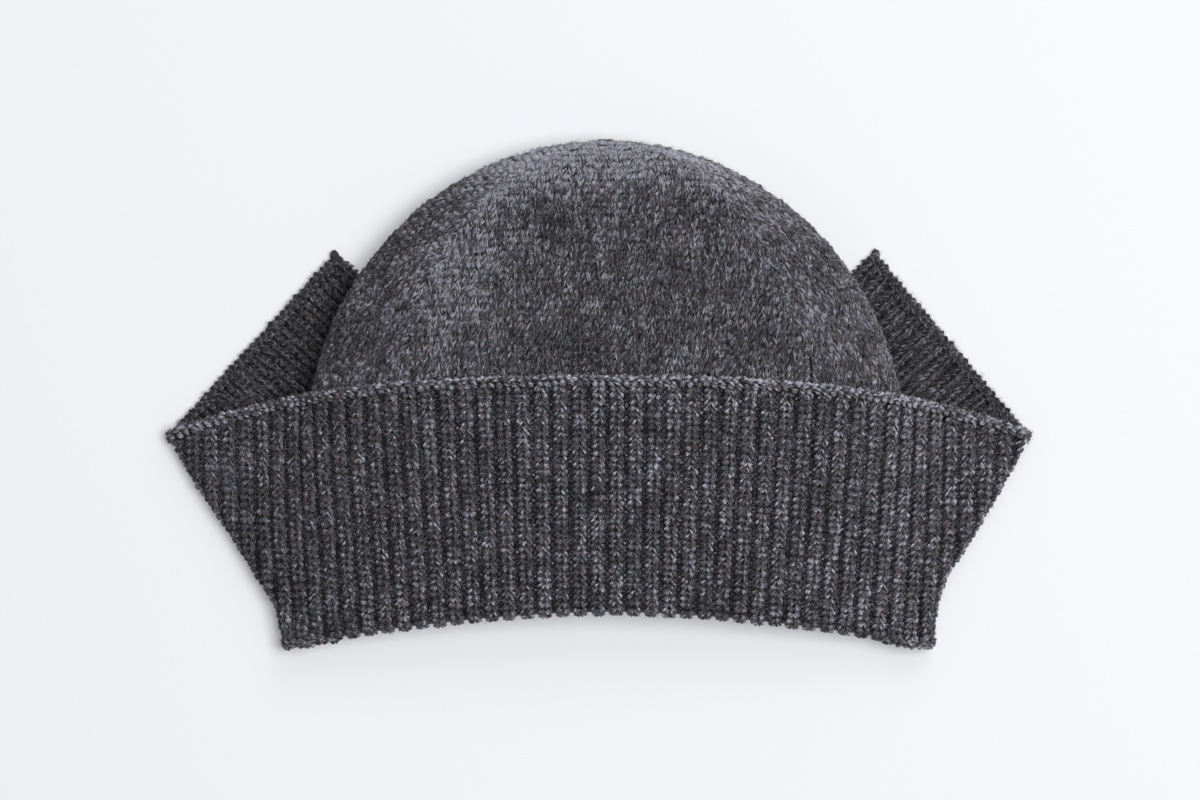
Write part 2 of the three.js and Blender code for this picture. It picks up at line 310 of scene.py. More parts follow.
@dataclass(frozen=True)
class BandForm:
    """Middle of the band's cloth: turned up over the crown, folded at the sides, flat behind.

    Sizes are in millimetres. A place on the front is across, from -1 at the left fold to 1 at
    the right one, and t, from 0 at the hem line to 1 at the free edge.
    """

    crown: CrownForm
    thickness: float = 3.0
    turn_radius: float = 3.6
    lip: float = 8.0
    fold_bulge: float = 2.5
    crown_gap: float = 2.7
    edge_lift: float = 1.6
    tent_drop: float = 3.0
    tent_power: float = 3.6
    tent_reach_hem: float = 1.06
    tent_reach_edge: float = 1.16
    tent_reach_growth: float = 0.6
    tent_blend: float = 1.2
    low_level_hem: float = 9.4
    low_level_edge: float = 6.6
    hem_line_y: float = -82.6
    hem_line_sag: float = 12.0
    hem_line_power: float = 1.7
    corner_start: float = 0.95
    corner_rounding: float = 1.3
    edge_line_y: float = 7.9
    edge_line_sag: float = 19.7
    edge_line_power: float = 2.8
    turn_fade: float = 0.8
    lip_start: float = 0.9
    probe: float = 0.02
    folds: tuple[FoldRow, ...] = (
        FoldRow(0.0, 114.5, 122.3),
        FoldRow(0.2, 118.0, 124.3),
        FoldRow(0.35, 126.0, 128.7),
        FoldRow(0.5, 133.5, 137.0),
        FoldRow(0.75, 147.5, 149.0),
        FoldRow(1.0, 159.5, 160.0),
    )
    ends: tuple[FlapEnd, FlapEnd] = (
        FlapEnd(free=(-98.6, 54.4), hem=(-33.5, -7.5)),
        FlapEnd(free=(103.9, 54.8), hem=(40.5, -10.0)),
    )

    @property
    def width(self) -> float:
        """Width of the strip at its middle, hem edge to free edge."""
        return self.edge_line_y - self.hem_line_y

    def end(self, side: Side) -> FlapEnd:
        """The strip's end on one side."""
        return self.ends[0] if side is Side.LEFT else self.ends[1]

    def fold_x(self, side: Side, t: Array) -> Array:
        """X of a side fold."""
        reach = [row.left if side is Side.LEFT else row.right for row in self.folds]
        return side.value * np.interp(t, [row.t for row in self.folds], reach)

    def turn_share(self, across: Array) -> Array:
        """How much of the turn under the hem the strip makes: all of it but for the corners."""
        return 1 - smooth(self.turn_fade, 1.0, np.abs(across))

    def lip_depth(self, share: Array) -> Array:
        """How far the strip goes on inside the crown, beyond its turn, at a share of that turn."""
        return self.lip * smooth(self.lip_start, 1, share)

    def front_y(self, across: Array, t: Array) -> Array:
        """Y of the front, for across of -1 to 1.

        Args:
            across: places between the side folds.
            t: shares of the strip's width.

        Returns:
            Y of the front there.
        """
        turned = np.sin(math.pi / 2 * np.clip(2 * self.turn_share(across), 0, 1))
        lowest = self.hem_line_y - self.hem_line_sag * np.abs(across) ** self.hem_line_power
        lowest = lowest + self.corner_rounding * smooth(self.corner_start, 1.0, np.abs(across))
        bottom = lowest + (self.turn_radius + self.thickness / 2) * turned
        top = self.edge_line_y - self.edge_line_sag * np.abs(across) ** self.edge_line_power
        return mix(bottom, top, t)

    def front(self, across: Array, t: Array) -> Array:
        """The front, lying over the crown and hanging like a tent beside it.

        Args:
            across: places between the side folds.
            t: shares of the strip's width.

        Returns:
            Points of the middle of the cloth.
        """
        across, t = np.broadcast_arrays(across, t)
        crown = self.crown
        left, right = self.fold_x(Side.LEFT, t), self.fold_x(Side.RIGHT, t)
        x = mix(left, right, (across + 1) / 2)
        y = self.front_y(across, t)
        gap = self.crown_gap + self.edge_lift * t * t
        low = mix(self.low_level_hem, self.low_level_edge, t)
        growth = smooth(0, self.tent_reach_growth, t)
        tent_reach = mix(self.tent_reach_hem, self.tent_reach_edge, growth)
        reach = np.abs(x - crown.axis_x) / crown.half_width(y)
        ridge = crown.ridge_level(y, -gap) + crown.relief(x, y)
        hang = np.maximum(0.0, 1 - (reach / tent_reach) ** self.tent_power)
        tent = mix(low, ridge - self.tent_drop, hang)
        return np.stack([x, y, smooth_max(crown.roof(x, y, -gap), tent, self.tent_blend)], axis=-1)

    def turned(self, across: Array, depth: Array) -> Array:
        """The strip below its hem line, on its turn under the crown's hem and on the lip inside.

        Args:
            across: places between the side folds.
            depth: distance past the hem line.

        Returns:
            Points of the middle of the cloth.
        """
        start = self.front(across, 0.0)
        down = unit(start - self.front(across, 2 * self.probe))
        inward = unit(np.cross(down, [1.0, 0.0, 0.0]))
        inward = np.where(inward[..., 2:] > 0, -inward, inward)
        angle = np.minimum(depth / self.turn_radius, math.pi)[..., None]
        past = np.maximum(0.0, depth - math.pi * self.turn_radius)[..., None]
        start = start + down * (self.turn_radius * np.sin(angle) - past)
        return start + inward * self.turn_radius * (1 - np.cos(angle))

    def fold(self, side: Side, turn: Array, t: Array) -> Array:
        """The strip as it folds over at a side, turn 0 in front to 1 on the table.

        Args:
            side: side of the hat.
            turn: how far round the fold, 0 to 1.
            t: shares of the strip's width.

        Returns:
            Points of the middle of the cloth.
        """
        turn, t = np.broadcast_arrays(turn, t)
        sign = float(side.value)
        start = self.front(np.full(t.shape, sign), t)
        low_t, high_t = np.maximum(0.0, t - self.probe), np.minimum(1.0, t + self.probe)
        along_x = self.fold_x(side, high_t) - self.fold_x(side, low_t)
        along_y = self.front_y(np.full(t.shape, sign), high_t)
        along_y = along_y - self.front_y(np.full(t.shape, sign), low_t)
        length = np.hypot(along_x, along_y)
        bulge = self.fold_bulge * np.sin(math.pi * turn)
        level = mix(self.thickness / 2, start[..., 2], (1 + np.cos(math.pi * turn)) / 2)
        x = start[..., 0] + sign * along_y / length * bulge
        y = start[..., 1] - sign * along_x / length * bulge
        return np.stack([x, y, level], axis=-1)

    def flap(self, side: Side, share: Array, t: Array) -> Array:
        """The flap on the table, share 0 at the side fold to 1 at the strip's end.

        Args:
            side: side of the hat.
            share: how far along the flap, 0 to 1.
            t: shares of the strip's width.

        Returns:
            Points of the middle of the cloth.
        """
        share, t = np.broadcast_arrays(share, t)
        start = self.fold(side, np.ones(t.shape), t)
        end = self.end(side)
        end_x = mix(end.hem[0], end.free[0], t)
        end_y = mix(end.hem[1], end.free[1], t)
        x, y = mix(start[..., 0], end_x, share), mix(start[..., 1], end_y, share)
        return np.stack([x, y, start[..., 2]], axis=-1)

    def flap_corners(self, side: Side) -> Array:
        """Corners of a flap on the table, counter-clockwise from above.

        Args:
            side: side of the hat.

        Returns:
            Four places on the table.
        """
        sign = float(side.value)
        end = self.end(side)
        hem = (float(self.fold_x(side, 0.0)), float(self.front_y(np.array(sign), 0.0)))
        free = (float(self.fold_x(side, 1.0)), float(self.front_y(np.array(sign), 1.0)))
        corners = np.array([hem, end.hem, end.free, free])
        return corners if side is Side.LEFT else corners[::-1]


@dataclass
class Cloth:
    """A closed mesh under way: points in millimetres and faces that share them."""

    points: list[Array] = field(default_factory=list)
    faces: list[Array] = field(default_factory=list)
    count: int = 0

    def grid(self, points: Array) -> Array:
        """Adds a grid of points.

        Args:
            points: rows and columns of points.

        Returns:
            The number of each point, in the same layout.
        """
        numbers = np.arange(self.count, self.count + points[..., 0].size)
        self.points.append(points.reshape(-1, 3))
        self.count += numbers.size
        return numbers.reshape(points.shape[:-1])

    def sheet(self, numbers: Array, flip: bool = False) -> None:
        """Adds the faces between the rows and columns of a grid.

        Args:
            numbers: point numbers, first axis is the rows.
            flip: turns the faces over. Unturned, rows going up and columns going right face out.
        """
        a, b = numbers[:-1, :-1], numbers[:-1, 1:]
        c, d = numbers[1:, 1:], numbers[1:, :-1]
        order = (d, c, b, a) if flip else (a, b, c, d)
        self.faces.append(np.stack(order, axis=-1).reshape(-1, 4))

    def mesh(self, name: str, shift: Array) -> bpy.types.Object:
        """The mesh as an object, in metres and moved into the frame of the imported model.

        Args:
            name: name of the piece.
            shift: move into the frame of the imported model, in millimetres.

        Returns:
            A smooth-shaded object. Corners that a face repeats are left out of it.
        """
        points = (np.concatenate(self.points) + shift) * MM
        mesh = bpy.data.meshes.new(name)
        faces = [tuple(dict.fromkeys(face)) for face in np.concatenate(self.faces).tolist()]
        faces = [face for face in faces if len(face) > 2]
        mesh.from_pydata(points.tolist(), [], faces)
        mesh.polygons.foreach_set("use_smooth", [True] * len(mesh.polygons))
        mesh.update()
        obj = bpy.data.objects.new(name, mesh)
        bpy.context.collection.objects.link(obj)
        return obj


@dataclass(frozen=True)
class Legs:
    """Places of legs, strands or fibres: middle, outward normal, direction and size of each.

    Middles and sizes are in millimetres, and a size is width, length and height.
    """

    middles: Array
    normals: Array
    directions: Array
    sizes: Array
    underside: ClassVar[float] = 0.15

    @staticmethod
    def joined(parts: list["Legs"]) -> "Legs":
        """All legs of several sets as one set."""
        return Legs(
            np.concatenate([part.middles for part in parts]),
            np.concatenate([part.normals for part in parts]),
            np.concatenate([part.directions for part in parts]),
            np.concatenate([part.sizes for part in parts]),
        )

    def lifted(self, clearance: float = 0.1) -> "Legs":
        """The same legs, with those that face the table raised clear of it.

        Args:
            clearance: room that stays under the lowest, in millimetres.

        Returns:
            As many legs.
        """
        middles = self.middles.copy()
        width, length, height = self.sizes.T
        up, along = self.normals[:, 2], self.directions[:, 2]
        reach = height * np.maximum(-up, self.underside * up)
        reach = reach + (length * np.abs(along) + width * np.sqrt(np.maximum(0, 1 - up**2))) / 2
        middles[:, 2] = np.maximum(middles[:, 2], reach + clearance)
        return Legs(middles, self.normals, self.directions, self.sizes)

    def plied(self, plying: "Plying") -> "Legs":
        """The strands that these legs are twisted from, side by side over each leg's round.

        Args:
            plying: how strands make up a leg.

        Returns:
            One leg for each strand.
        """
        aside = unit(np.cross(self.directions, self.normals))
        slanted = unit(self.directions + aside * math.tan(plying.twist))
        width = self.sizes[:, :1]
        size = self.sizes * np.array([plying.share, 1.0, 1.0])
        strands = []
        for offset in plying.offsets:
            normal = unit(self.normals + aside * offset * plying.fan)
            strands.append(Legs(self.middles + aside * width * offset, normal, slanted, size))
        return Legs.joined(strands)

    def nap(
        self, rng: np.random.Generator, count: int, form: "NapForm", share: Array | float = 1.0
    ) -> "Legs":
        """Loose fibres that start on these legs.

        Args:
            rng: seeded source of the random draws.
            count: number of fibres.
            form: sizes of the fibres.
            share: how readily each leg sheds fibres, next to the others.

        Returns:
            One leg, long and very thin, for each fibre.
        """
        weight = np.zeros(len(self.middles)) + share
        chosen = rng.choice(len(self.middles), count, p=weight / weight.sum())
        normal = self.normals[chosen]
        random = rng.normal(size=(count, 3))
        flat = unit(random - normal * np.sum(random * normal, axis=1, keepdims=True))
        tilted = unit(normal + flat * rng.uniform(-form.tilt, form.tilt, (count, 1)))
        direction = unit(flat - tilted * np.sum(flat * tilted, axis=1, keepdims=True))
        place = self.middles[chosen] + normal * (self.sizes[chosen, 2:] * form.start)
        place = place + rng.normal(size=(count, 3)) * form.scatter
        sizes = np.stack(
            [
                np.full(count, form.width),
                rng.uniform(form.shortest, form.longest, count),
                rng.uniform(0.0, 1.0, count) ** 2 * form.highest + form.width,
            ],
            axis=-1,
        )
        return Legs(place, tilted, direction, sizes)


@dataclass(frozen=True)
class NapForm:
    """Sizes of the loose fibres, in millimetres; tilt and start are shares."""

    width: float = 0.07
    shortest: float = 0.7
    longest: float = 2.3
    highest: float = 0.9
    tilt: float = 0.6
    start: float = 0.8
    scatter: float = 0.45


@dataclass(frozen=True)
class Plying:
    """How strands make up a leg: their offsets and width as shares of its width, and the twist."""

    offsets: tuple[float, ...] = (-0.33, 0.0, 0.33)
    share: float = 0.46
    twist: float = math.radians(8)
    fan: float = 1.3


@dataclass(frozen=True)
class StitchForm:
    """How a knit stitch shows: two legs of yarn that lean to each other like a V or its mirror.

    Width and spread are shares of the stitch's column, the length is a share of its course, and
    the height and how far the legs sink in are in millimetres. The shingle is how steeply each
    stitch's upper end goes in behind the next stitch. The roll turns the two legs away from each
    other, as on a rounded rib.
    """

    leg_width: float
    leg_length: float
    leg_height: float
    lean: float
    spread: float
    sink: float
    shingle: float
    roll: float = 0.0
    uneven: float = 0.14

    def pair(self, at: Array, normal: Array, up: Array, column: Array, course: Array) -> Legs:
        """The two legs of each stitch.

        Args:
            at: middle of each stitch on the cloth.
            normal: outward direction of the cloth there.
            up: direction of the wale there.
            column: width of each stitch.
            course: height of each stitch.

        Returns:
            Twice as many legs as stitches.
        """
        across = unit(np.cross(up, normal))
        rise = up * math.cos(self.shingle) - normal * math.sin(self.shingle)
        out = normal * math.cos(self.shingle) + up * math.sin(self.shingle)
        height = np.full(len(at), self.leg_height)
        size = np.stack([self.leg_width * column, self.leg_length * course, height], axis=-1)
        parts = []
        for sign in (-1.0, 1.0):
            direction = rise * math.cos(self.lean) + sign * across * math.sin(self.lean)
            side = sign * (math.sin(self.roll) * across)
            face = unit(out * math.cos(self.roll) + side)
            middle = at + across * (sign * self.spread * column[:, None]) - normal * self.sink
            parts.append(Legs(middle, face, unit(direction), size))
        return Legs.joined(parts)


@dataclass(frozen=True)
class YarnShape:
    """A closed shape of length, width and height 1 along Y: one ring between two pointed ends.

    The profile gives each corner of the ring as (across, height). The ring stands at ring_at on
    the length, 0 at its middle, and is raised by ring_lift. Each end has a height of its own.
    """

    profile: tuple[tuple[float, float], ...]
    ring_at: float
    ring_lift: float
    low_end: float
    high_end: float


class YarnForm(Enum):
    """The shapes that get laid: a strand of plied yarn and a loose fibre."""

    STRAND = YarnShape(
        profile=((-0.5, 0.2), (-0.28, 0.9), (0.28, 0.9), (0.5, 0.2), (0.0, -0.15)),
        ring_at=0.0,
        ring_lift=0.0,
        low_end=0.05,
        high_end=0.05,
    )
    FIBRE = YarnShape(
        profile=((-0.5, 0.0), (0.0, 0.13), (0.5, 0.0)),
        ring_at=-0.05,
        ring_lift=0.25,
        low_end=0.0,
        high_end=1.0,
    )


class LegMaker:
    """Lays one strand or fibre on every given place, by Geometry Nodes."""

    def __init__(self) -> None:
        """Builds the forms and the tree that lays them."""
        self.forms = {form: self._form(form) for form in YarnForm}
        self.tree = self._tree()

    def _form(self, form: YarnForm) -> bpy.types.Object:
        """A form's shape as a mesh, with its own coordinates kept in the attribute yarn.

        Args:
            form: the shape wanted.

        Returns:
            The object that gets laid.
        """
        shape = form.value
        cloth = Cloth()
        corners = [[(x, shape.ring_at, shape.ring_lift + z) for x, z in shape.profile]]
        ring = cloth.grid(np.array(corners, dtype=float))
        tips = [[(0, -0.5, shape.low_end), (0, 0.5, shape.high_end)]]
        low_tip, high_tip = cloth.grid(np.array(tips, dtype=float))[0]
        closed = np.concatenate([ring, ring[:, :1]], axis=1)[0]
        for tip, around in ((low_tip, closed), (high_tip, closed[::-1])):
            cloth.sheet(np.stack([np.full(len(around), tip), around]))
        obj = cloth.mesh(f"yarn_{form.name.lower()}_form", np.zeros(3))
        obj.data.transform(Matrix.Scale(1 / MM, 4))
        yarn = obj.data.attributes.new("yarn", "FLOAT_VECTOR", "POINT")
        coords = np.array([vertex.co for vertex in obj.data.vertices], dtype=float)
        yarn.data.foreach_set("vector", coords.ravel())
        return obj

    def _tree(self) -> bpy.types.GeometryNodeTree:
        """The tree: points of the carrier become strands or fibres, each with a tone of its own.

        Returns:
            The tree, with inputs for what is laid, its finish, the seed and the unevenness.
        """
        tree = bpy.data.node_groups.new("lay_legs", "GeometryNodeTree")
        face = tree.interface
        face.new_socket("Geometry", in_out="INPUT", socket_type="NodeSocketGeometry")
        face.new_socket("Geometry", in_out="OUTPUT", socket_type="NodeSocketGeometry")
        face.new_socket("Leg", in_out="INPUT", socket_type="NodeSocketObject")
        face.new_socket("Material", in_out="INPUT", socket_type="NodeSocketMaterial")
        face.new_socket("Seed", in_out="INPUT", socket_type="NodeSocketInt")
        face.new_socket("Uneven", in_out="INPUT", socket_type="NodeSocketFloat")
        nodes, links = tree.nodes, tree.links
        given = nodes.new("NodeGroupInput").outputs
        leg = nodes.new("GeometryNodeObjectInfo")
        links.new(given["Leg"], leg.inputs["Object"])

        def attribute(name: str) -> bpy.types.NodeSocket:
            """Socket that reads a vector of each point.

            Args:
                name: name of the attribute.

            Returns:
                The socket.
            """
            node = nodes.new("GeometryNodeInputNamedAttribute")
            node.data_type = "FLOAT_VECTOR"
            node.inputs["Name"].default_value = name
            return node.outputs["Attribute"]

        def draw(kind: str, low: object, high: object, seed_step: int) -> bpy.types.NodeSocket:
            """Socket that draws a random value for each point.

            Args:
                kind: type of the value.
                low: lowest value.
                high: highest value.
                seed_step: what is added to the seed.

            Returns:
                The socket.
            """
            node = nodes.new("FunctionNodeRandomValue")
            node.data_type = kind
            at = 0 if kind == "FLOAT_VECTOR" else 2
            node.inputs[at].default_value = low
            node.inputs[at + 1].default_value = high
            seed = nodes.new("ShaderNodeMath")
            seed.operation = "ADD"
            links.new(given["Seed"], seed.inputs[0])
            seed.inputs[1].default_value = seed_step
            links.new(seed.outputs[0], node.inputs["Seed"])
            return node.outputs[0 if kind == "FLOAT_VECTOR" else 1]

        def vector(operation: str, a: object, b: object) -> bpy.types.NodeSocket:
            """Socket of a Vector Math node on two sockets.

            Args:
                operation: the node's operation.
                a: first socket.
                b: second socket.

            Returns:
                The socket.
            """
            node = nodes.new("ShaderNodeVectorMath")
            node.operation = operation
            links.new(a, node.inputs[0])
            links.new(b, node.inputs["Scale" if operation == "SCALE" else 1])
            return node.outputs[0]

        tone = nodes.new("GeometryNodeStoreNamedAttribute")
        tone.data_type = "FLOAT"
        tone.domain = "POINT"
        tone.inputs["Name"].default_value = "tone"
        cloud = nodes.new("GeometryNodeMeshToPoints")
        links.new(given["Geometry"], cloud.inputs["Mesh"])
        links.new(cloud.outputs["Points"], tone.inputs["Geometry"])
        links.new(draw("FLOAT", 0.0, 1.0, 0), tone.inputs["Value"])
        wobble = vector("SCALE", draw("FLOAT_VECTOR", (-1,) * 3, (1,) * 3, 1), given["Uneven"])
        direction = vector("ADD", attribute("leg_direction"), wobble)
        turn = nodes.new("FunctionNodeAxesToRotation")
        turn.primary_axis, turn.secondary_axis = "Z", "Y"
        links.new(attribute("leg_normal"), turn.inputs["Primary Axis"])
        links.new(direction, turn.inputs["Secondary Axis"])
        swell = vector("SCALE", draw("FLOAT_VECTOR", (-1,) * 3, (1,) * 3, 2), given["Uneven"])
        one = nodes.new("ShaderNodeVectorMath")
        one.operation = "ADD"
        one.inputs[1].default_value = (1.0, 1.0, 1.0)
        links.new(swell, one.inputs[0])
        size = vector("MULTIPLY", attribute("leg_size"), one.outputs[0])
        lay = nodes.new("GeometryNodeInstanceOnPoints")
        links.new(tone.outputs["Geometry"], lay.inputs["Points"])
        links.new(leg.outputs["Geometry"], lay.inputs["Instance"])
        links.new(turn.outputs["Rotation"], lay.inputs["Rotation"])
        links.new(size, lay.inputs["Scale"])
        real = nodes.new("GeometryNodeRealizeInstances")
        links.new(lay.outputs["Instances"], real.inputs["Geometry"])
        dress = nodes.new("GeometryNodeSetMaterial")
        links.new(real.outputs["Geometry"], dress.inputs["Geometry"])
        links.new(given["Material"], dress.inputs["Material"])
        out = nodes.new("NodeGroupOutput")
        links.new(dress.outputs["Geometry"], out.inputs["Geometry"])
        return tree

    def lay(
        self,
        name: str,
        legs: Legs,
        shift: Array,
        material: bpy.types.Material,
        seed: int,
        uneven: float,
        form: YarnForm = YarnForm.STRAND,
        worn: Array | float = 0.0,
    ) -> bpy.types.Object:
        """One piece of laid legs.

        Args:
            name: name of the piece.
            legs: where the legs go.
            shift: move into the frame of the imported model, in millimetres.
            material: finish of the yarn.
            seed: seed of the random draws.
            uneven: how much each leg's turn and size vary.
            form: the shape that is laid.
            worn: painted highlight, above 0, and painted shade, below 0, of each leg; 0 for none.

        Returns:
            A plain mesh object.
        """
        carrier = bpy.data.meshes.new(name + "_places")
        carrier.from_pydata(((legs.middles + shift) * MM).tolist(), [], [])
        columns = {
            "leg_normal": legs.normals,
            "leg_direction": legs.directions,
            "leg_size": legs.sizes * MM,
        }
        for key, values in columns.items():
            store = carrier.attributes.new(key, "FLOAT_VECTOR", "POINT")
            store.data.foreach_set("vector", values.astype(float).ravel())
        # Each leg keeps its painted highlight or painted shade for the material.
        painted_shading_store = carrier.attributes.new("worn", "FLOAT", "POINT")
        painted_shading_store.data.foreach_set("value", np.zeros(len(legs.middles)) + worn)
        obj = bpy.data.objects.new(name, carrier)
        bpy.context.collection.objects.link(obj)
        modifier = obj.modifiers.new("lay", "NODES")
        modifier.node_group = self.tree
        sockets = {
            item.name: item.identifier
            for item in self.tree.interface.items_tree
            if item.in_out == "INPUT"
        }
        modifier[sockets["Leg"]] = self.forms[form]
        modifier[sockets["Material"]] = material
        modifier[sockets["Seed"]] = seed
        modifier[sockets["Uneven"]] = uneven
        result = bpy.data.meshes.new_from_object(
            obj.evaluated_get(bpy.context.evaluated_depsgraph_get())
        )
        obj.modifiers.remove(modifier)
        obj.data = result
        result.name = name
        for key in columns:
            if key in result.attributes:
                result.attributes.remove(result.attributes[key])
        return obj

    def put_away(self) -> None:
        """Removes the forms, which aren't pieces of the hat."""
        for obj in self.forms.values():
            bpy.data.objects.remove(obj)


class Term:
    """A shader socket that takes part in Python expressions."""

    def __init__(self, graph: "Graph", socket: bpy.types.NodeSocket) -> None:
        """Wraps a socket of a graph."""
        self.graph = graph
        self.socket = socket

    def _math(self, operation: str, *values: object) -> "Term":
        """A Math node on this term and others."""
        return self.graph.node("ShaderNodeMath", {"operation": operation}, list(values))

    def __add__(self, other: object) -> "Term":
        """Sum."""
        return self._math("ADD", self, other)

    def __sub__(self, other: object) -> "Term":
        """Difference."""
        return self._math("SUBTRACT", self, other)

    def __rsub__(self, other: object) -> "Term":
        """Difference from a number."""
        return self._math("SUBTRACT", other, self)

    def __mul__(self, other: object) -> "Term":
        """Product."""
        return self._math("MULTIPLY", self, other)

    __radd__ = __add__
    __rmul__ = __mul__

    def ramp(self, low: float, high: float) -> "Term":
        """0 at low to 1 at high, clamped."""
        settings = {"interpolation_type": "SMOOTHSTEP"}
        return self.graph.node(
            "ShaderNodeMapRange", settings, {"Value": self, "From Min": low, "From Max": high}
        )


class Graph:
    """The node tree of one material."""

    def __init__(self, name: str) -> None:
        """Starts a material with an empty tree."""
        self.material = bpy.data.materials.new(name)
        self.material.use_nodes = True
        self.tree = self.material.node_tree
        self.tree.nodes.clear()

    def node(
        self, kind: str, settings: dict, values: object, output: int | str | None = 0
    ) -> "Term | None":
        """Adds a node.

        Args:
            kind: the node's type.
            settings: properties of the node, set first.
            values: numbers, colours or terms for its sockets, by name or in order.
            output: the socket that the result stands for.

        Returns:
            The chosen output as a term, or nothing where there is none.
        """
        node = self.tree.nodes.new(kind)
        for key, value in settings.items():
            setattr(node, key, value)
        pairs = values.items() if isinstance(values, dict) else enumerate(values)
        for key, value in pairs:
            if isinstance(value, Term):
                self.tree.links.new(value.socket, node.inputs[key])
            else:
                node.inputs[key].default_value = value
        return None if output is None else Term(self, node.outputs[output])

    def close(self, values: dict) -> None:
        """Ends the material with a Principled shader that has the given values."""
        shader = self.node("ShaderNodeBsdfPrincipled", {}, values)
        self.node("ShaderNodeOutputMaterial", {}, {"Surface": shader}, None)

    def noise(self, at: Term, scale: float, detail: float = 2.0, roughness: float = 0.5) -> Term:
        """Noise of a scale per unit of its coordinates."""
        values = {"Vector": at, "Scale": scale, "Detail": detail, "Roughness": roughness}
        return self.node("ShaderNodeTexNoise", {}, values, "Fac")

    def blend(self, share: object, low: object, high: object) -> Term:
        """Mix of two colours, by a Mix node's numbered colour sockets, as their names repeat."""
        factor, first, second, result = 0, 6, 7, 2
        values = {factor: share, first: low, second: high}
        return self.node("ShaderNodeMix", {"data_type": "RGBA"}, values, result)


@dataclass(frozen=True)
class WoolFinish:
    """Heathered charcoal wool: dark, middle and light fibres carded together, with a soft nap."""

    name: str
    dark: tuple[float, float, float] = (0.012, 0.0115, 0.014)
    bluish: tuple[float, float, float] = (0.062, 0.070, 0.091)
    rosy: tuple[float, float, float] = (0.084, 0.068, 0.078)
    light: tuple[float, float, float] = (0.42, 0.42, 0.49)
    warm: tuple[float, float, float] = (0.17, 0.085, 0.075)
    depth: float = 1.0
    has_legs: bool = True
    fleck_scale: float = 1300.0
    patch_scale: float = 210.0
    patch_stretch: tuple[float, float, float] = (1.0, 0.3, 1.0)
    broad_scale: float = 70.0
    cast_scale: float = 420.0
    warm_scale: float = 560.0
    coarse_weight: float = 0.9
    fine_weight: float = 0.6
    fleck_weight: float = 0.8
    patch_weight: float = 0.4
    broad_weight: float = 0.25
    tone_weight: float = 0.5
    painted_shading_weight: float = 0.43
    darkness: float = 1.72
    dark_range: tuple[float, float] = (-0.30, 0.05)
    light_range: tuple[float, float] = (0.03, 0.50)
    cast_range: tuple[float, float] = (0.38, 0.62)
    warm_range: tuple[float, float] = (0.63, 0.72)
    warm_share: float = 0.5
    streaks: tuple[float, float, float] = (0.9, 1.4, 0.7)
    fine_streaks: float = 2.7
    streak_turn: float = 0.35
    leg_offset: tuple[float, float, float] = (173.0, 91.0, 57.0)

    def _tinted(self, colour: tuple[float, float, float]) -> tuple[float, float, float, float]:
        """A colour at the finish's own depth."""
        return tuple(channel * self.depth for channel in colour) + (1.0,)

    def _fibres(self, graph: Graph, place: Term) -> tuple[Term, Term, Term]:
        """Streaks of fibre along each leg, or flecks where there are no legs.

        Args:
            graph: the material under way.
            place: Object coordinates.

        Returns:
            Coarse streaks, fine streaks and the tone of each leg.
        """
        if not self.has_legs:
            patch = graph.noise(place, self.patch_scale)
            fleck = graph.noise(place, self.fleck_scale)
            return fleck, fleck, patch
        tone = graph.node("ShaderNodeAttribute", {"attribute_name": "tone"}, {}, "Fac")
        yarn = graph.node("ShaderNodeAttribute", {"attribute_name": "yarn"}, {}, "Vector")
        turned = graph.node(
            "ShaderNodeMapping",
            {},
            {"Vector": yarn, "Scale": self.streaks, "Rotation": (0.0, 0.0, self.streak_turn)},
        )
        offset = graph.node(
            "ShaderNodeVectorMath", {"operation": "SCALE"}, {0: self.leg_offset, "Scale": tone}
        )
        along = graph.node("ShaderNodeVectorMath", {"operation": "ADD"}, [turned, offset])
        fine = self.fine_streaks
        return graph.noise(along, 1.0, 1.0), graph.noise(along, fine, 1.0), tone

    def material(self) -> bpy.types.Material:
        """Builds the material.

        Returns:
            The finish as a material.
        """
        graph = Graph(self.name)
        place = graph.node("ShaderNodeTexCoord", {}, {}, "Object")
        coarse, fine, tone = self._fibres(graph, place)
        fleck = graph.noise(place, self.fleck_scale, 1.0)
        stretched = graph.node(
            "ShaderNodeMapping", {}, {"Vector": place, "Scale": self.patch_stretch}
        )
        patch = graph.noise(stretched, self.patch_scale, 1.0)
        broad = graph.noise(place, self.broad_scale, 1.0)
        # Painted highlight and painted shade, stored on each leg, lighten or darken the yarn.
        worn = graph.node("ShaderNodeAttribute", {"attribute_name": "worn"}, {}, "Fac")
        lightness = coarse * self.coarse_weight + fine * self.fine_weight
        lightness = lightness + fleck * self.fleck_weight + patch * self.patch_weight
        lightness = lightness + broad * self.broad_weight + tone * self.tone_weight
        lightness = lightness + worn * self.painted_shading_weight - self.darkness
        cast = graph.noise(place, self.cast_scale, 1.0).ramp(*self.cast_range)
        middle = graph.blend(cast, self._tinted(self.bluish), self._tinted(self.rosy))
        low = graph.blend(lightness.ramp(*self.dark_range), self._tinted(self.dark), middle)
        colour = graph.blend(lightness.ramp(*self.light_range), low, self._tinted(self.light))
        warmth = graph.noise(place, self.warm_scale, 1.0).ramp(*self.warm_range)
        colour = graph.blend(warmth * self.warm_share, colour, self._tinted(self.warm))
        bump = graph.node(
            "ShaderNodeBump", {}, {"Strength": 0.6, "Distance": 0.0003, "Height": coarse + fine}
        )
        graph.close(
            {
                "Base Color": colour,
                "Roughness": 0.94,
                "Specular IOR Level": 0.15,
                "Sheen Weight": 0.5,
                "Sheen Roughness": 0.4,
                "Normal": bump,
            }
        )
        return graph.material


def dress(piece: bpy.types.Object, slot: str, material: bpy.types.Material | None = None) -> None:
    """Sets a piece's finish and the body it rides on.

    Args:
        piece: the finished piece.
        slot: not used.
        material: its finish, where it has none yet.
    """
    if material is not None:
        piece.data.materials.clear()
        piece.data.materials.append(material)
    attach(piece, BODY)
    log.info("%s: %d faces", piece.name, len(piece.data.polygons))


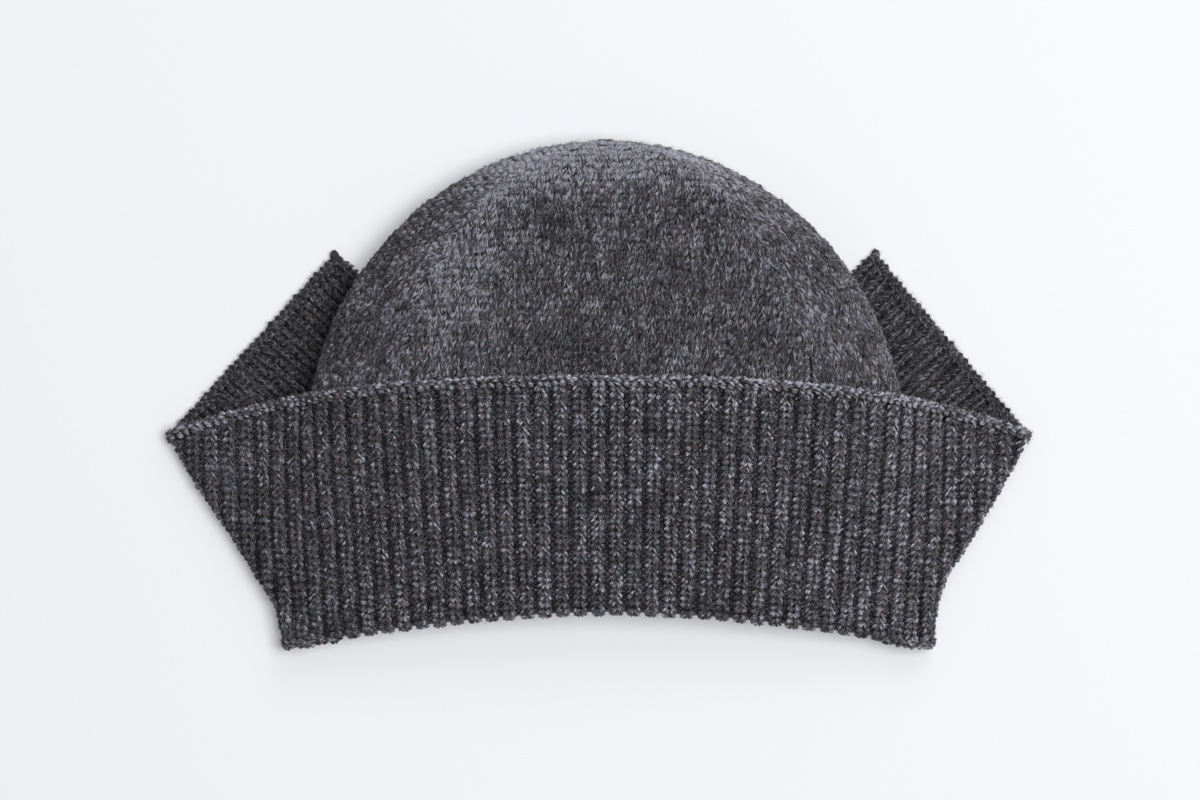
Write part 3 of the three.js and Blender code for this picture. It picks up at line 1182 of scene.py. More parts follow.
@dataclass(frozen=True)
class PaintedShading:
    """Painted highlight and painted shade on the crown: how much, and how far across and up.

    Across is a share of the half width, negative to the left, and up is a share of the way from
    the shoulder line to the apex. The painted highlight lies round the apex and on the shoulders,
    and the painted shade at the far left and in the dent, whose place and reach are in millimetres.
    """

    # Painted highlights round the apex and on the left and right shoulders.
    apex: float = 1.2
    apex_from: float = 0.76
    apex_fade: float = 0.4
    apex_fade_across: tuple[float, float] = (0.1, 0.9)
    left: float = 0.52
    left_across: float = -0.62
    left_reach: float = 0.17
    left_up: tuple[float, float] = (0.1, 0.5)
    right: float = 0.22
    right_across: float = 0.76
    right_reach: float = 0.13
    # Painted shade at the far left and in the dent.
    far_left_painted_shade: float = 0.1
    far_left_from: float = 0.78
    dent_painted_shade: float = 0.9
    dent_at: tuple[float, float] = (-6.5, 17.0)
    dent_reach: tuple[float, float] = (7.0, 5.5)
    under_from: float = 1.0

    def amount(self, across: Array, up: Array, x: Array, y: Array) -> Array:
        """Painted highlight and painted shade at a place of the crown's front.

        Args:
            across: share of the half width.
            up: share of the way to the apex.
            x: place across, in millimetres.
            y: place up, in millimetres.

        Returns:
            0 for none, more for a painted highlight, less for painted shade.
        """
        apex = smooth(self.apex_from, 1.0, up)
        apex = apex * (1 - self.apex_fade * smooth(*self.apex_fade_across, across))
        left = self.left * np.exp(-(((across - self.left_across) / self.left_reach) ** 2))
        left = left * smooth(*self.left_up, up)
        right = self.right * np.exp(-(((across - self.right_across) / self.right_reach) ** 2))
        # Painted shade at the far left and in the dent, taken off the painted highlights.
        far_left = self.far_left_painted_shade * smooth(self.far_left_from, 1.0, -across)
        dent_x = (x - self.dent_at[0]) / self.dent_reach[0]
        dent_y = (y - self.dent_at[1]) / self.dent_reach[1]
        dent = self.dent_painted_shade * np.exp(-(dent_x**2) - dent_y**2)
        return self.apex * apex + left * (1 - apex) + right - far_left - dent


@dataclass(frozen=True)
class NapAndSheen:
    """How many light loose fibres the crown gets: everywhere, and more towards its shoulders."""

    # The light fibres massed on the shoulders are partly a painted sheen highlight.
    least: float = 1.1
    shoulders: float = 0.5
    shoulders_across: tuple[float, float] = (0.3, 0.65)


@dataclass(frozen=True)
class Gather:
    """The rosette of last loops at the apex, in millimetres; the splay is a slope."""

    loops: int = 11
    radius: float = 2.3
    splay: float = 0.4
    leg: tuple[float, float, float] = (1.5, 4.2, 1.2)


@dataclass(frozen=True)
class BackHem:
    """The two rows of edge stitches along the back layer's hem, in millimetres.

    A stitch is overlap wales long, slant and tilt are slopes, and the corner turn is the share of
    half a turn that stays free at each side fold.
    """

    width: float = 1.5
    overlap: float = 1.25
    height: float = 0.9
    levels: tuple[float, float] = (0.35, 2.2)
    slant: float = 0.3
    tilt: float = 0.35
    inset: float = 0.2
    probe: float = 0.8
    steps: int = 400
    corner_turn: float = 0.03
    clearance: float = 0.3


@dataclass
class Crown:
    """The jersey crown: its cloth, and its stitches wale by wale.

    Wale and course are the width and the height of a stitch. Sizes are in millimetres.
    """

    form: CrownForm
    flaps: list[Array]
    shift: Array
    cloth_inset: float = 1.3
    round_steps: int = 144
    rings: int = 46
    wale: float = 3.45
    course: float = 2.7
    panel_reach: float = 0.7
    scan: float = 0.5
    section_steps: int = 160
    section_excess: float = 1.4
    fewest_points: int = 7
    first_stitch: tuple[float, float] = (0.25, 0.75)
    look_ahead: float = 0.6
    slope_step: float = 0.4
    jitter: float = 0.22
    painted_shading_spread: PaintedShading = PaintedShading()
    nap_and_sheen: NapAndSheen = NapAndSheen()
    gathering: Gather = Gather()
    back_hem: BackHem = BackHem()
    first_seed: int = 11
    first_edge_seed: int = 17
    nap_counts: tuple[int, int] = (10000, 1200)
    plying: Plying = Plying()
    stitch: StitchForm = StitchForm(
        leg_width=0.42,
        leg_length=1.85,
        leg_height=1.25,
        lean=math.radians(15),
        spread=0.25,
        sink=0.75,
        shingle=math.radians(9),
        roll=math.radians(14),
    )

    def height(self, x: Array, y: Array, layer: Layer, inset: float = 0.0) -> Array:
        """Height of a layer."""
        if layer is Layer.FRONT:
            return self.form.roof(x, y, inset)
        return self.form.under(x, y, self.flaps, inset)

    def skin(self, inset: float) -> Array:
        """Rings of points from the hem to just under the apex, once round.

        Args:
            inset: how far inside the outer face.

        Returns:
            A grid of points, one row for each ring.
        """
        turns = np.arange(self.round_steps) * 2 * math.pi / self.round_steps
        reach, front = np.cos(turns), np.sin(turns) >= 0
        hem = np.where(
            front, self.form.hem_y(reach, Layer.FRONT), self.form.hem_y(reach, Layer.BACK)
        )
        climb = np.sin(np.linspace(0, 1, self.rings, endpoint=False) * math.pi / 2)[:, None]
        y = mix(hem[None, :], self.form.apex(inset)[1], climb)
        x = self.form.axis_x + reach[None, :] * self.form.half_width(y, inset)
        z = np.where(
            front[None, :], self.form.roof(x, y, inset), self.form.under(x, y, self.flaps, inset)
        )
        return np.stack([x, y, z], axis=-1)

    def build_cloth(self) -> bpy.types.Object:
        """The cloth that the stitches stand on, a closed shell with the hollow for the head.

        Its dark finish is painted shade between the stitches.

        Returns:
            The piece.
        """
        cloth = Cloth()
        skins = []
        for inset, is_outer in ((self.cloth_inset, True), (self.form.wall, False)):
            rings = cloth.grid(self.skin(inset))
            closed = np.concatenate([rings, rings[:, :1]], axis=1)[:, ::-1]
            apex = cloth.grid(self.form.apex(inset)[None, None, :])
            cap = np.stack([closed[-1], np.full(closed.shape[1], apex[0, 0])])
            cloth.sheet(closed, flip=not is_outer)
            cloth.sheet(cap, flip=not is_outer)
            skins.append(closed)
        cloth.sheet(np.stack([skins[1][0], skins[0][0]]))
        return cloth.mesh("crown_cloth", self.shift)

    def section(self, y: float, layer: Layer, side: Side) -> tuple[Array, Array]:
        """Half a section across the crown at y.

        Args:
            y: where the section is cut.
            layer: front or back layer.
            side: left or right half.

        Returns:
            Points from the middle out to the side fold, and the distance of each from the middle.
        """
        turns = np.linspace(math.pi / 2, 0, self.section_steps)
        x = self.form.axis_x + side.value * np.cos(turns) * self.form.half_width(np.array(y))
        line = np.stack([x, np.full(x.shape, y), self.height(x, np.full(x.shape, y), layer)], axis=-1)
        return line, arc_lengths(line)

    def wales(self, layer: Layer, side: Side) -> list[Array]:
        """Lines of points that the wales of half a layer follow, from the hem upwards.

        The wales of the middle panel run up side by side. Those of the side panel run beside the
        side fold. Each ends where it meets the shaping line between the two panels.

        Args:
            layer: front or back layer.
            side: left or right half.

        Returns:
            One line of points for each wale.
        """
        form = self.form
        straight = np.arange(form.hem_corner_y, form.shoulder_y, self.scan)
        climb = np.arange(0.0, math.pi / 2, self.scan / form.rise)
        levels = np.concatenate([straight, form.shoulder_y + form.rise * np.sin(climb)])
        most = int(form.half_breadth * self.section_excess / self.wale)
        middles: list[list[Array]] = [[] for _ in range(most)]
        sides: list[list[Array]] = [[] for _ in range(most)]
        for y in levels:
            line, length = self.section(float(y), layer, side)
            limit = np.interp(
                self.panel_reach, np.abs(line[:, 0] - form.axis_x) / form.half_width(y), length
            )
            for number in range(most):
                from_middle = (number + 0.5) * self.wale
                from_fold = length[-1] - (number + 0.5) * self.wale
                for store, place, inside in (
                    (middles[number], from_middle, from_middle < limit),
                    (sides[number], from_fold, from_fold >= limit),
                ):
                    if not inside:
                        continue
                    point = along_line(np.array([place]), length, line)[0]
                    reach = (point[0] - form.axis_x) / float(form.half_width(y))
                    if y >= form.hem_y(reach, layer):
                        store.append(point)
        return [np.array(line) for line in middles + sides if len(line) >= self.fewest_points]

    def seed(self, layer: Layer, side: Side) -> int:
        """Seed of the random draws of half a layer."""
        return self.first_seed + 2 * (layer is Layer.BACK) + (side is Side.RIGHT)

    def stitches(self, layer: Layer, side: Side) -> Legs:
        """The legs of every stitch of half a layer, plied but for those of the back layer.

        Args:
            layer: front or back layer.
            side: left or right half.

        Returns:
            The legs.
        """
        rng = np.random.default_rng(self.seed(layer, side))
        parts = []
        for line in self.wales(layer, side):
            length = arc_lengths(line)
            first = self.course * rng.uniform(*self.first_stitch)
            places = np.arange(first, length[-1] + self.course / 2, self.course)
            places = np.minimum(places, length[-1])
            at = along_line(places, length, line)
            ahead = along_line(places + self.look_ahead, length, line)
            behind = along_line(places - self.look_ahead, length, line)
            up = unit(ahead - behind)
            normal = self.normals(at, layer)
            up = unit(up - normal * np.sum(up * normal, axis=1, keepdims=True))
            at = at + rng.normal(size=at.shape) * self.jitter
            size = np.ones(len(at))
            parts.append(self.stitch.pair(at, normal, up, size * self.wale, size * self.course))
        legs = Legs.joined(parts)
        return legs.plied(self.plying) if layer is Layer.FRONT else legs.lifted()

    def normals(self, at: Array, layer: Layer) -> Array:
        """Outward directions of a layer's surface, whose slope is read just inside the outline.

        Args:
            at: places on the layer.
            layer: front or back layer.

        Returns:
            A direction for each place.
        """
        step, nearest, farthest = self.slope_step, 0.9975, 0.9999
        x, y = at[:, 0], at[:, 1]
        axis = self.form.axis_x

        def within(across: Array, along: Array, limit: float) -> Array:
            """X held inside a share of the outline."""
            half = self.form.half_width(along)
            return axis + np.clip((across - axis) / np.maximum(half, 1e-6), -limit, limit) * half

        def level(across: Array, along: Array) -> Array:
            """Height of the layer, with X held inside the outline."""
            return self.height(within(across, along, farthest), along, layer)

        held = within(x, y, nearest)
        slope_x = (level(held + step, y) - level(held - step, y)) / (2 * step)
        slope_y = (level(held, y + step) - level(held, y - step)) / (2 * step)
        raw = np.stack([-slope_x, -slope_y, np.ones(len(at))], axis=-1)
        normal = unit(raw)
        return normal if layer is Layer.FRONT else -normal

    def worn(self, legs: Legs) -> Array:
        """Painted highlight and shade of legs, lightest round the apex and along the left shoulder.

        Args:
            legs: legs of the crown.

        Returns:
            0 for none, more for a painted highlight, less for painted shade.
        """
        x, y, z = legs.middles.T
        across = (x - self.form.axis_x) / np.maximum(self.form.half_width(y), 1.0)
        up = (y - self.form.shoulder_y) / self.form.rise
        # The painted highlight and shade fade out towards the table.
        faded = smooth(self.painted_shading_spread.under_from, self.form.edge_level_hem, z)
        return self.painted_shading_spread.amount(across, up, x, y) * faded

    def fuzz_and_sheen(self, legs: Legs) -> Array:
        """How many light loose fibres legs get, most on the shoulders and where the crown falls off.

        Massed there, the light fibres are partly a painted sheen highlight.

        Args:
            legs: legs of the crown.

        Returns:
            A weight for each leg.
        """
        x, y = legs.middles[:, 0], legs.middles[:, 1]
        across = np.abs(x - self.form.axis_x) / np.maximum(self.form.half_width(y), 1.0)
        form = self.nap_and_sheen
        shoulders = form.shoulders * smooth(*form.shoulders_across, across)
        return form.least + shoulders - np.abs(legs.normals[:, 2])

    def gather(self) -> Legs:
        """The last loops, drawn together round the apex.

        Returns:
            The strands.
        """
        turns = np.arange(self.gathering.loops) * 2 * math.pi / self.gathering.loops
        spokes = np.stack([np.cos(turns), np.zeros(len(turns)), np.sin(turns)], axis=-1)
        out = unit(spokes * self.gathering.splay + np.array([0.0, 1.0, 0.0]))
        along = unit(spokes - out * np.sum(spokes * out, axis=1, keepdims=True))
        middle = self.form.apex() + spokes * self.gathering.radius
        size = np.broadcast_to(self.gathering.leg, middle.shape)
        return Legs(middle, out, along, size).plied(self.plying)

    def hem_links(self) -> Legs:
        """The plain edge stitches along the back layer's hem.

        Returns:
            The strands.
        """
        hem = self.back_hem
        start, end = 1 + hem.corner_turn, 2 - hem.corner_turn
        turns = np.linspace(math.pi * start, math.pi * end, hem.steps)
        reach = np.cos(turns)
        y = self.form.hem_y(reach, Layer.BACK)
        x = self.form.axis_x + reach * self.form.half_width(y)
        line = np.stack([x, y, self.form.under(x, y, self.flaps)], axis=-1)
        length = arc_lengths(line)
        places = np.arange(self.wale / 2, length[-1], self.wale)
        at = along_line(places, length, line)
        before = along_line(places - hem.probe, length, line)
        ahead = unit(along_line(places + hem.probe, length, line) - before)
        leg = [hem.width, self.wale * hem.overlap, hem.height]
        parts = []
        for level, sign in zip(hem.levels, (1, -1)):
            out = unit(np.array([0.0, -1.0, -sign * hem.tilt]) + 0 * at)
            direction = unit(ahead + sign * hem.slant * np.cross(out, ahead))
            middle = at + np.array([0.0, -hem.inset, level])
            parts.append(Legs(middle, out, direction, np.broadcast_to(leg, at.shape)))
        return Legs.joined(parts).plied(self.plying).lifted(hem.clearance)

    def build(self, maker: LegMaker, wool: "Wools") -> None:
        """Builds and dresses all pieces of the crown.

        Args:
            maker: what lays the stitches.
            wool: the finishes.
        """
        cloth = self.build_cloth()
        pieces = []
        uneven = self.stitch.uneven
        for layer in Layer:
            for side in Side:
                name = f"crown_{layer.value}_{side.name.lower()}"
                seed = self.seed(layer, side)
                legs = self.stitches(layer, side)
                # Painted highlight and painted shade of each leg go with it to the material.
                worn = self.worn(legs)
                stitches = maker.lay(
                    f"{name}_stitches", legs, self.shift, wool.jersey, seed, uneven, worn=worn
                )
                count = self.nap_counts[layer is Layer.BACK]
                # More light fibres on shoulders and slopes: real nap, and partly a painted sheen
                # highlight.
                fuzz_and_sheen = self.fuzz_and_sheen(legs)
                nap = legs.nap(np.random.default_rng(seed), count, NapForm(), fuzz_and_sheen).lifted()
                fibres = maker.lay(
                    f"{name}_nap", nap, self.shift, wool.nap, seed, 0.0, YarnForm.FIBRE
                )
                pieces += [stitches, fibres]
        edges = {"crown_back_hem": self.hem_links(), "crown_gather": self.gather()}
        for seed, (name, legs) in enumerate(edges.items(), start=self.first_edge_seed):
            pieces.append(maker.lay(name, legs, self.shift, wool.jersey, seed, uneven))
        dress(cloth, "jersey_knit", wool.painted_gap_shade)
        for piece in pieces:
            dress(piece, "jersey_knit")
        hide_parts("crown")


@dataclass(frozen=True)
class LinkRow:
    """One row of links of the bound-off edge, in millimetres; face is 1 outside, -1 inside."""

    below_edge: float
    level: float
    face: float
    tilt: float
    slant: float
    width: float = 1.6
    length: float = 3.1
    height: float = 1.3
    stagger: float = 0.0


@dataclass(frozen=True)
class EndRow:
    """One row of edge stitches up an end of the strip; face is 1 outside, -1 inside, 0 between."""

    face: float
    slant: float


EDGE_LINKS = (
    LinkRow(below_edge=0.9, level=0.7, face=1.0, tilt=0.6, slant=0.35),
    LinkRow(below_edge=2.5, level=0.95, face=1.0, tilt=0.05, slant=-0.35, stagger=0.2),
    LinkRow(below_edge=0.3, level=0.0, face=1.0, tilt=1.5, slant=0.3, stagger=0.12),
    LinkRow(below_edge=1.0, level=0.6, face=-1.0, tilt=0.6, slant=0.4),
    LinkRow(below_edge=2.4, level=0.8, face=-1.0, tilt=0.05, slant=-0.3, stagger=0.2),
)

END_ROWS = (
    EndRow(face=1.0, slant=0.35),
    EndRow(face=-1.0, slant=-0.35),
    EndRow(face=0.0, slant=0.2),
)

NAP_COUNTS = {
    "band_front_stitches": 10000,
    "left_flap_inner_stitches": 1800,
    "right_flap_inner_stitches": 1800,
    "bound_off_edge": 4000,
    "left_flap_edge": 2200,
    "right_flap_edge": 2200,
}


@dataclass(frozen=True)
class Steps:
    """How many points the strip is charted with, and how many rows its cloth gets."""

    per_rib: int = 8
    front: int = 481
    fold: int = 25
    flap: int = 41
    cloth_per_rib: int = 6
    cloth_lip: int = 3
    cloth_turn: int = 8
    cloth_width: int = 34


@dataclass(frozen=True)
class Bars:
    """The cross bars between the front's ribs, in millimetres; the length is in ribs."""

    level: float = -0.75
    slant: float = 0.35
    width: float = 1.0
    length: float = 0.42
    height: float = 0.8


@dataclass(frozen=True)
class EndForm:
    """The edge stitches at the strip's ends and the knots at their free corners, in millimetres.

    The inset is in ribs, a stitch is overlap courses long and the tilts are slopes.
    """

    inset: float = 0.12
    level: float = 0.75
    reach: float = 0.3
    tilt: float = 0.8
    width: float = 1.7
    overlap: float = 1.5
    height: float = 1.15
    knot_rise: float = 0.6
    knot_tilt: float = 0.3
    knot_turns: tuple[float, ...] = (0.2, 1.2, 2.3)
    knot_leg: tuple[float, float, float] = (2.0, 3.6, 1.9)


@dataclass
class Band:
    """The ribbed ear-flap band: its waved cloth, its stitches rib by rib and its bound-off edges.

    Places on it are in knit coordinates: a rib number, 0 at the middle of the front, and the
    distance up the rib from the hem line in millimetres, below 0 on the turn under the hem.
    """

    form: BandForm
    shift: Array
    ribs_to_fold: float = 24.0
    ribs_to_end: float = 39.0
    pitch_hem: float = 6.65
    fold_pitch: float = 5.4
    course: float = 2.48
    steps: Steps = Steps()
    rib_nudge: float = 0.04
    up_nudge: float = 0.6
    hem_crowding: float = 1.6
    column_level: float = 0.9
    groove_level: float = -0.25
    groove_width: float = 0.8
    bars: Bars = Bars()
    cloth_depth: float = 0.15
    column_share: float = 0.84
    last_front_rib: int = 26
    first_inner_rib: float = 17.5
    rows_below_hem: int = 6
    edge_rows: float = 1.5
    open_pitch: float = 5.0
    jitter: float = 0.12
    edge_jitter: float = 0.2
    # Painted highlight on the bound-off edge.
    edge_painted_highlight: float = 0.35
    link_pitch: float = 0.42
    link_trim: float = 0.25
    bare_hem_share: float = 0.75
    ends: EndForm = EndForm()
    stitch: StitchForm = StitchForm(
        leg_width=0.335,
        leg_length=1.3,
        leg_height=1.05,
        lean=math.radians(-34),
        spread=0.215,
        sink=0.45,
        shingle=math.radians(-10),
        roll=math.radians(20),
    )
    plying: Plying = Plying()
    hidden_height: float = 0.85
    inner_lean: float = math.radians(-14)
    inner_length: float = 1.5
    inner_width: float = 0.27
    inner_spread: float = 0.25
    inner_share: float = 0.94
    # Painted shade that darkens the band towards its left end, over a span of X in millimetres.
    left_painted_shade: float = 0.2
    left_shade_span: tuple[float, float] = (10.0, 130.0)
    chart_seed: int = 31
    first_piece_seed: int = 41

    def __post_init__(self) -> None:
        """Charts the strip in its own knit coordinates: rows up the rib, columns across ribs."""
        self.rng = np.random.default_rng(self.chart_seed)
        half = int(self.ribs_to_end * self.steps.per_rib)
        self.ribs = np.arange(-half, half + 1) / self.steps.per_rib
        self.rows = int(round(self.form.width / self.course)) * 2
        self.row_height = self.form.width / self.rows
        shares = np.linspace(0, 1, self.rows + 1)
        charted = [self.charted_row(t) for t in shares]
        self.chart = np.stack([row[0] for row in charted])
        self.across_hem = charted[0][1]

    def charted_row(self, t: float) -> tuple[Array, Array]:
        """One row of the chart.

        Args:
            t: share of the strip's width, 0 at the hem line to 1 at the free edge.

        Returns:
            The point of each column, and how far across the front each one lies, 2 beyond it.
        """
        form = self.form
        lines, measures, acrosses = [], [], []
        front_across = np.linspace(-1, 1, self.steps.front)
        front = form.front(front_across, np.full(self.steps.front, t))
        front_length = arc_lengths(front)
        centre = np.interp(0.0, front[:, 0], front_length)
        for side in Side:
            sign = side.value
            reach = centre if sign < 0 else front_length[-1] - centre
            edge_pitch = self.edge_reach(side) / self.ribs_to_fold
            pitch = mix(self.pitch_hem, edge_pitch, t)
            fold_rib = reach / pitch
            turns = np.linspace(0, 1, self.steps.fold)
            fold = form.fold(side, turns, np.full(self.steps.fold, t))
            fold_ribs = fold_rib + arc_lengths(fold) / self.fold_pitch
            shares = np.linspace(0, 1, self.steps.flap)
            flap = form.flap(side, shares, np.full(self.steps.flap, t))
            flap_ribs = mix(fold_ribs[-1], self.ribs_to_end, shares)
            outer = np.concatenate([fold[1:], flap[1:]])
            outer_ribs = np.concatenate([fold_ribs[1:], flap_ribs[1:]])
            inside = (front[:, 0] <= 0) if sign < 0 else (front[:, 0] > 0)
            half = front[inside]
            half_ribs = np.abs(front_length[inside] - centre) / pitch
            half_across = front_across[inside]
            beyond = np.full(len(outer), 2.0 * sign)
            if sign < 0:
                lines += [outer[::-1], half]
                measures += [-outer_ribs[::-1], -half_ribs]
                acrosses += [beyond[::-1], half_across]
            else:
                lines += [half, outer]
                measures += [half_ribs, outer_ribs]
                acrosses += [half_across, beyond]
        line, measure = np.concatenate(lines), np.concatenate(measures)
        points = along_line(self.ribs, measure, line)
        across = np.interp(self.ribs, measure, np.concatenate(acrosses))
        return points, across

    def edge_reach(self, side: Side) -> float:
        """Length of the free edge from the middle to a side fold.

        Args:
            side: side of the hat.

        Returns:
            The length in millimetres.
        """
        steps = self.steps.front
        line = self.form.front(np.linspace(-1, 1, steps), np.ones(steps))
        length = arc_lengths(line)
        centre = float(np.interp(0.0, line[:, 0], length))
        return centre if side is Side.LEFT else float(length[-1]) - centre

    def surface(self, ribs: Array, ups: Array) -> tuple[Array, Array, Array, Array]:
        """The strip's middle and its directions at places in knit coordinates.

        Args:
            ribs: rib numbers.
            ups: distances up the rib.

        Returns:
            Points, outward normals, directions up the rib and millimetres for each rib.
        """
        aside, ahead = self.rib_nudge, self.up_nudge
        points = self.place(ribs, ups)
        up = unit(self.place(ribs, ups + ahead) - self.place(ribs, ups - ahead))
        wide = self.place(ribs + aside, ups) - self.place(ribs - aside, ups)
        pitch = np.linalg.norm(wide, axis=-1) / (2 * aside)
        normal = unit(np.cross(wide, up))
        return points, normal, up, pitch

    def place(self, ribs: Array, ups: Array) -> Array:
        """The strip's middle at places in knit coordinates.

        Args:
            ribs: rib numbers.
            ups: distances up the rib.

        Returns:
            Points of the middle of the cloth.
        """
        columns = np.clip((ribs - self.ribs[0]) * self.steps.per_rib, 0, len(self.ribs) - 1.001)
        rows = np.clip(ups / self.row_height, 0, self.rows - 0.001)
        i, j = rows.astype(int), columns.astype(int)
        u, v = (rows - i)[..., None], (columns - j)[..., None]
        low = mix(self.chart[i, j], self.chart[i, j + 1], v)
        high = mix(self.chart[i + 1, j], self.chart[i + 1, j + 1], v)
        flat = mix(low, high, u)
        over = np.maximum(0.0, ups - self.form.width)[..., None]
        flat = flat + unit(self.chart[-1][j] - self.chart[-3][j]) * over
        across = np.clip(np.interp(ribs, self.ribs, self.across_hem), -1, 1)
        turned = self.form.turned(across, np.maximum(0.0, -ups))
        return np.where((ups < 0)[..., None], turned, flat)

    def turn_share(self, ribs: Array) -> Array:
        """Share of the turn under the hem at a rib, 0 beyond the corners."""
        across = np.interp(ribs, self.ribs, self.across_hem)
        return np.where(np.abs(across) > 1, 0.0, self.form.turn_share(np.clip(across, -1, 1)))

    def build_cloth(self) -> bpy.types.Object:
        """The waved cloth that the stitches stand on, closed, with the turn under the hem.

        Its dark finish is painted shade between the stitches.

        Returns:
            The piece.
        """
        form = self.form
        steps = self.steps
        half = self.ribs_to_end * steps.cloth_per_rib
        ribs = np.arange(-half, half + 1) / steps.cloth_per_rib
        share = self.turn_share(ribs)
        turn = share * math.pi * form.turn_radius
        lip = form.lip_depth(share)
        rows = []
        front_start = steps.cloth_lip + steps.cloth_turn
        front_steps = steps.cloth_width - front_start
        for step in range(steps.cloth_width + 1):
            flat = form.width * (step / steps.cloth_width) ** self.hem_crowding
            if step < steps.cloth_lip:
                front = -turn - lip * (1 - step / steps.cloth_lip)
            elif step < front_start:
                front = -turn * (1 - (step - steps.cloth_lip) / steps.cloth_turn)
            else:
                front = np.full(ribs.shape, form.width * (step - front_start) / front_steps)
            rows.append(mix(flat, front, share))
        ups = np.stack(rows)
        grid = np.broadcast_to(ribs, ups.shape)
        points = self.place(grid, ups)
        along = np.gradient(points, axis=1)
        up = np.gradient(points, axis=0)
        normal = unit(np.cross(along, up))
        wave = 0.5 + 0.5 * np.cos(2 * math.pi * grid)
        top = self.column_level - self.cloth_depth
        outer_level = mix(self.groove_level, top, wave**self.groove_width)
        inner_level = mix(self.groove_level, top, (1 - wave) ** self.groove_width)
        cloth = Cloth()
        outer = cloth.grid(points + normal * outer_level[..., None])
        inner = cloth.grid(points - normal * inner_level[..., None])
        cloth.sheet(outer)
        cloth.sheet(inner, flip=True)
        cloth.sheet(np.stack([inner[0], outer[0]]))
        cloth.sheet(np.stack([outer[-1], inner[-1]]))
        cloth.sheet(np.stack([outer[:, 0], inner[:, 0]]))
        cloth.sheet(np.stack([inner[:, -1], outer[:, -1]]))
        return cloth.mesh("band_cloth", self.shift)

    def rib_legs(
        self, ribs: Array, first_up: float, inner: bool = False, hidden: bool = False
    ) -> Legs:
        """The legs of every stitch of some ribs.

        Args:
            ribs: rib numbers, whole for the outer face and halfway for the inner face.
            first_up: where the lowest stitches lie.
            inner: whether they lie on the strip's inner face.
            hidden: whether they face the table, flattened and in one strand.

        Returns:
            The legs.
        """
        last_up = self.form.width - self.course * self.edge_rows
        ups = np.arange(first_up, last_up, self.course)
        grid_ribs, grid_ups = (values.ravel() for values in np.meshgrid(ribs, ups))
        share = self.turn_share(grid_ribs)
        depth = share * math.pi * self.form.turn_radius + self.form.lip_depth(share)
        there = (grid_ups >= 0) | (-grid_ups <= depth - self.course * 0.4)
        grid_ribs, grid_ups = grid_ribs[there], grid_ups[there]
        at, normal, up, pitch = self.surface(grid_ribs, grid_ups)
        if inner:
            normal = -normal
        at = at + normal * self.column_level + self.rng.normal(size=at.shape) * self.jitter
        course = np.full(len(at), self.course)
        stitch, share = self.stitch, self.column_share
        if hidden:
            stitch = replace(stitch, leg_height=self.hidden_height)
        if inner:
            stitch = replace(
                stitch,
                lean=self.inner_lean,
                leg_length=self.inner_length,
                leg_width=self.inner_width,
                spread=self.inner_spread,
            )
            share = self.inner_share
        legs = stitch.pair(at, normal, up, share * pitch, course)
        return (legs if hidden else legs.plied(self.plying)).lifted()

    def groove_bars(self) -> Legs:
        """The low cross bars in the open grooves between the ribs in front, one for each course.

        Returns:
            The bars, as legs that lie across.
        """
        ribs = np.arange(-self.last_front_rib + 0.5, self.last_front_rib)
        ups = np.arange(self.course, self.form.width - self.course, self.course)
        grid_ribs, grid_ups = (values.ravel() for values in np.meshgrid(ribs, ups))
        at, normal, up, pitch = self.surface(grid_ribs, grid_ups)
        across = unit(np.cross(up, normal))
        at = at + normal * self.bars.level + self.rng.normal(size=at.shape) * self.jitter
        slant = self.rng.uniform(-self.bars.slant, self.bars.slant, (len(at), 1))
        along = unit(across + up * slant)
        width, height = np.full(len(at), self.bars.width), np.full(len(at), self.bars.height)
        sizes = np.stack([width, self.bars.length * pitch, height], axis=-1)
        open_here = pitch > self.open_pitch
        return Legs(at[open_here], normal[open_here], along[open_here], sizes[open_here])

    def edge_links(self, first: float, last: float, hem: bool = False) -> Legs:
        """Rows of links, like a plait laid over an edge of the strip.

        Args:
            first: rib that the links start from.
            last: rib that they end at.
            hem: the hem edge where it isn't turned under the crown, instead of the free edge.

        Returns:
            The strands.
        """
        ribs = np.arange(first, last, self.link_pitch)
        if hem:
            ribs = ribs[self.turn_share(ribs) < self.bare_hem_share]
        parts = []
        for link in EDGE_LINKS:
            up = np.full(ribs.shape, self.form.width - link.below_edge)
            if hem:
                turn = self.turn_share(ribs) * math.pi * self.form.turn_radius
                up = link.below_edge - turn
            at, normal, up_way, _ = self.surface(ribs + link.stagger, up)
            up_way = -up_way if hem else up_way
            face = normal * link.face
            out = unit(face * math.cos(link.tilt) + up_way * math.sin(link.tilt))
            along = unit(np.cross(up_way, normal))
            direction = unit(along + np.cross(out, along) * link.slant)
            middle = at + face * link.level + self.rng.normal(size=at.shape) * self.edge_jitter
            size = np.broadcast_to([link.width, link.length, link.height], at.shape)
            parts.append(Legs(middle, out, direction, size))
        return Legs.joined(parts).plied(self.plying).lifted()

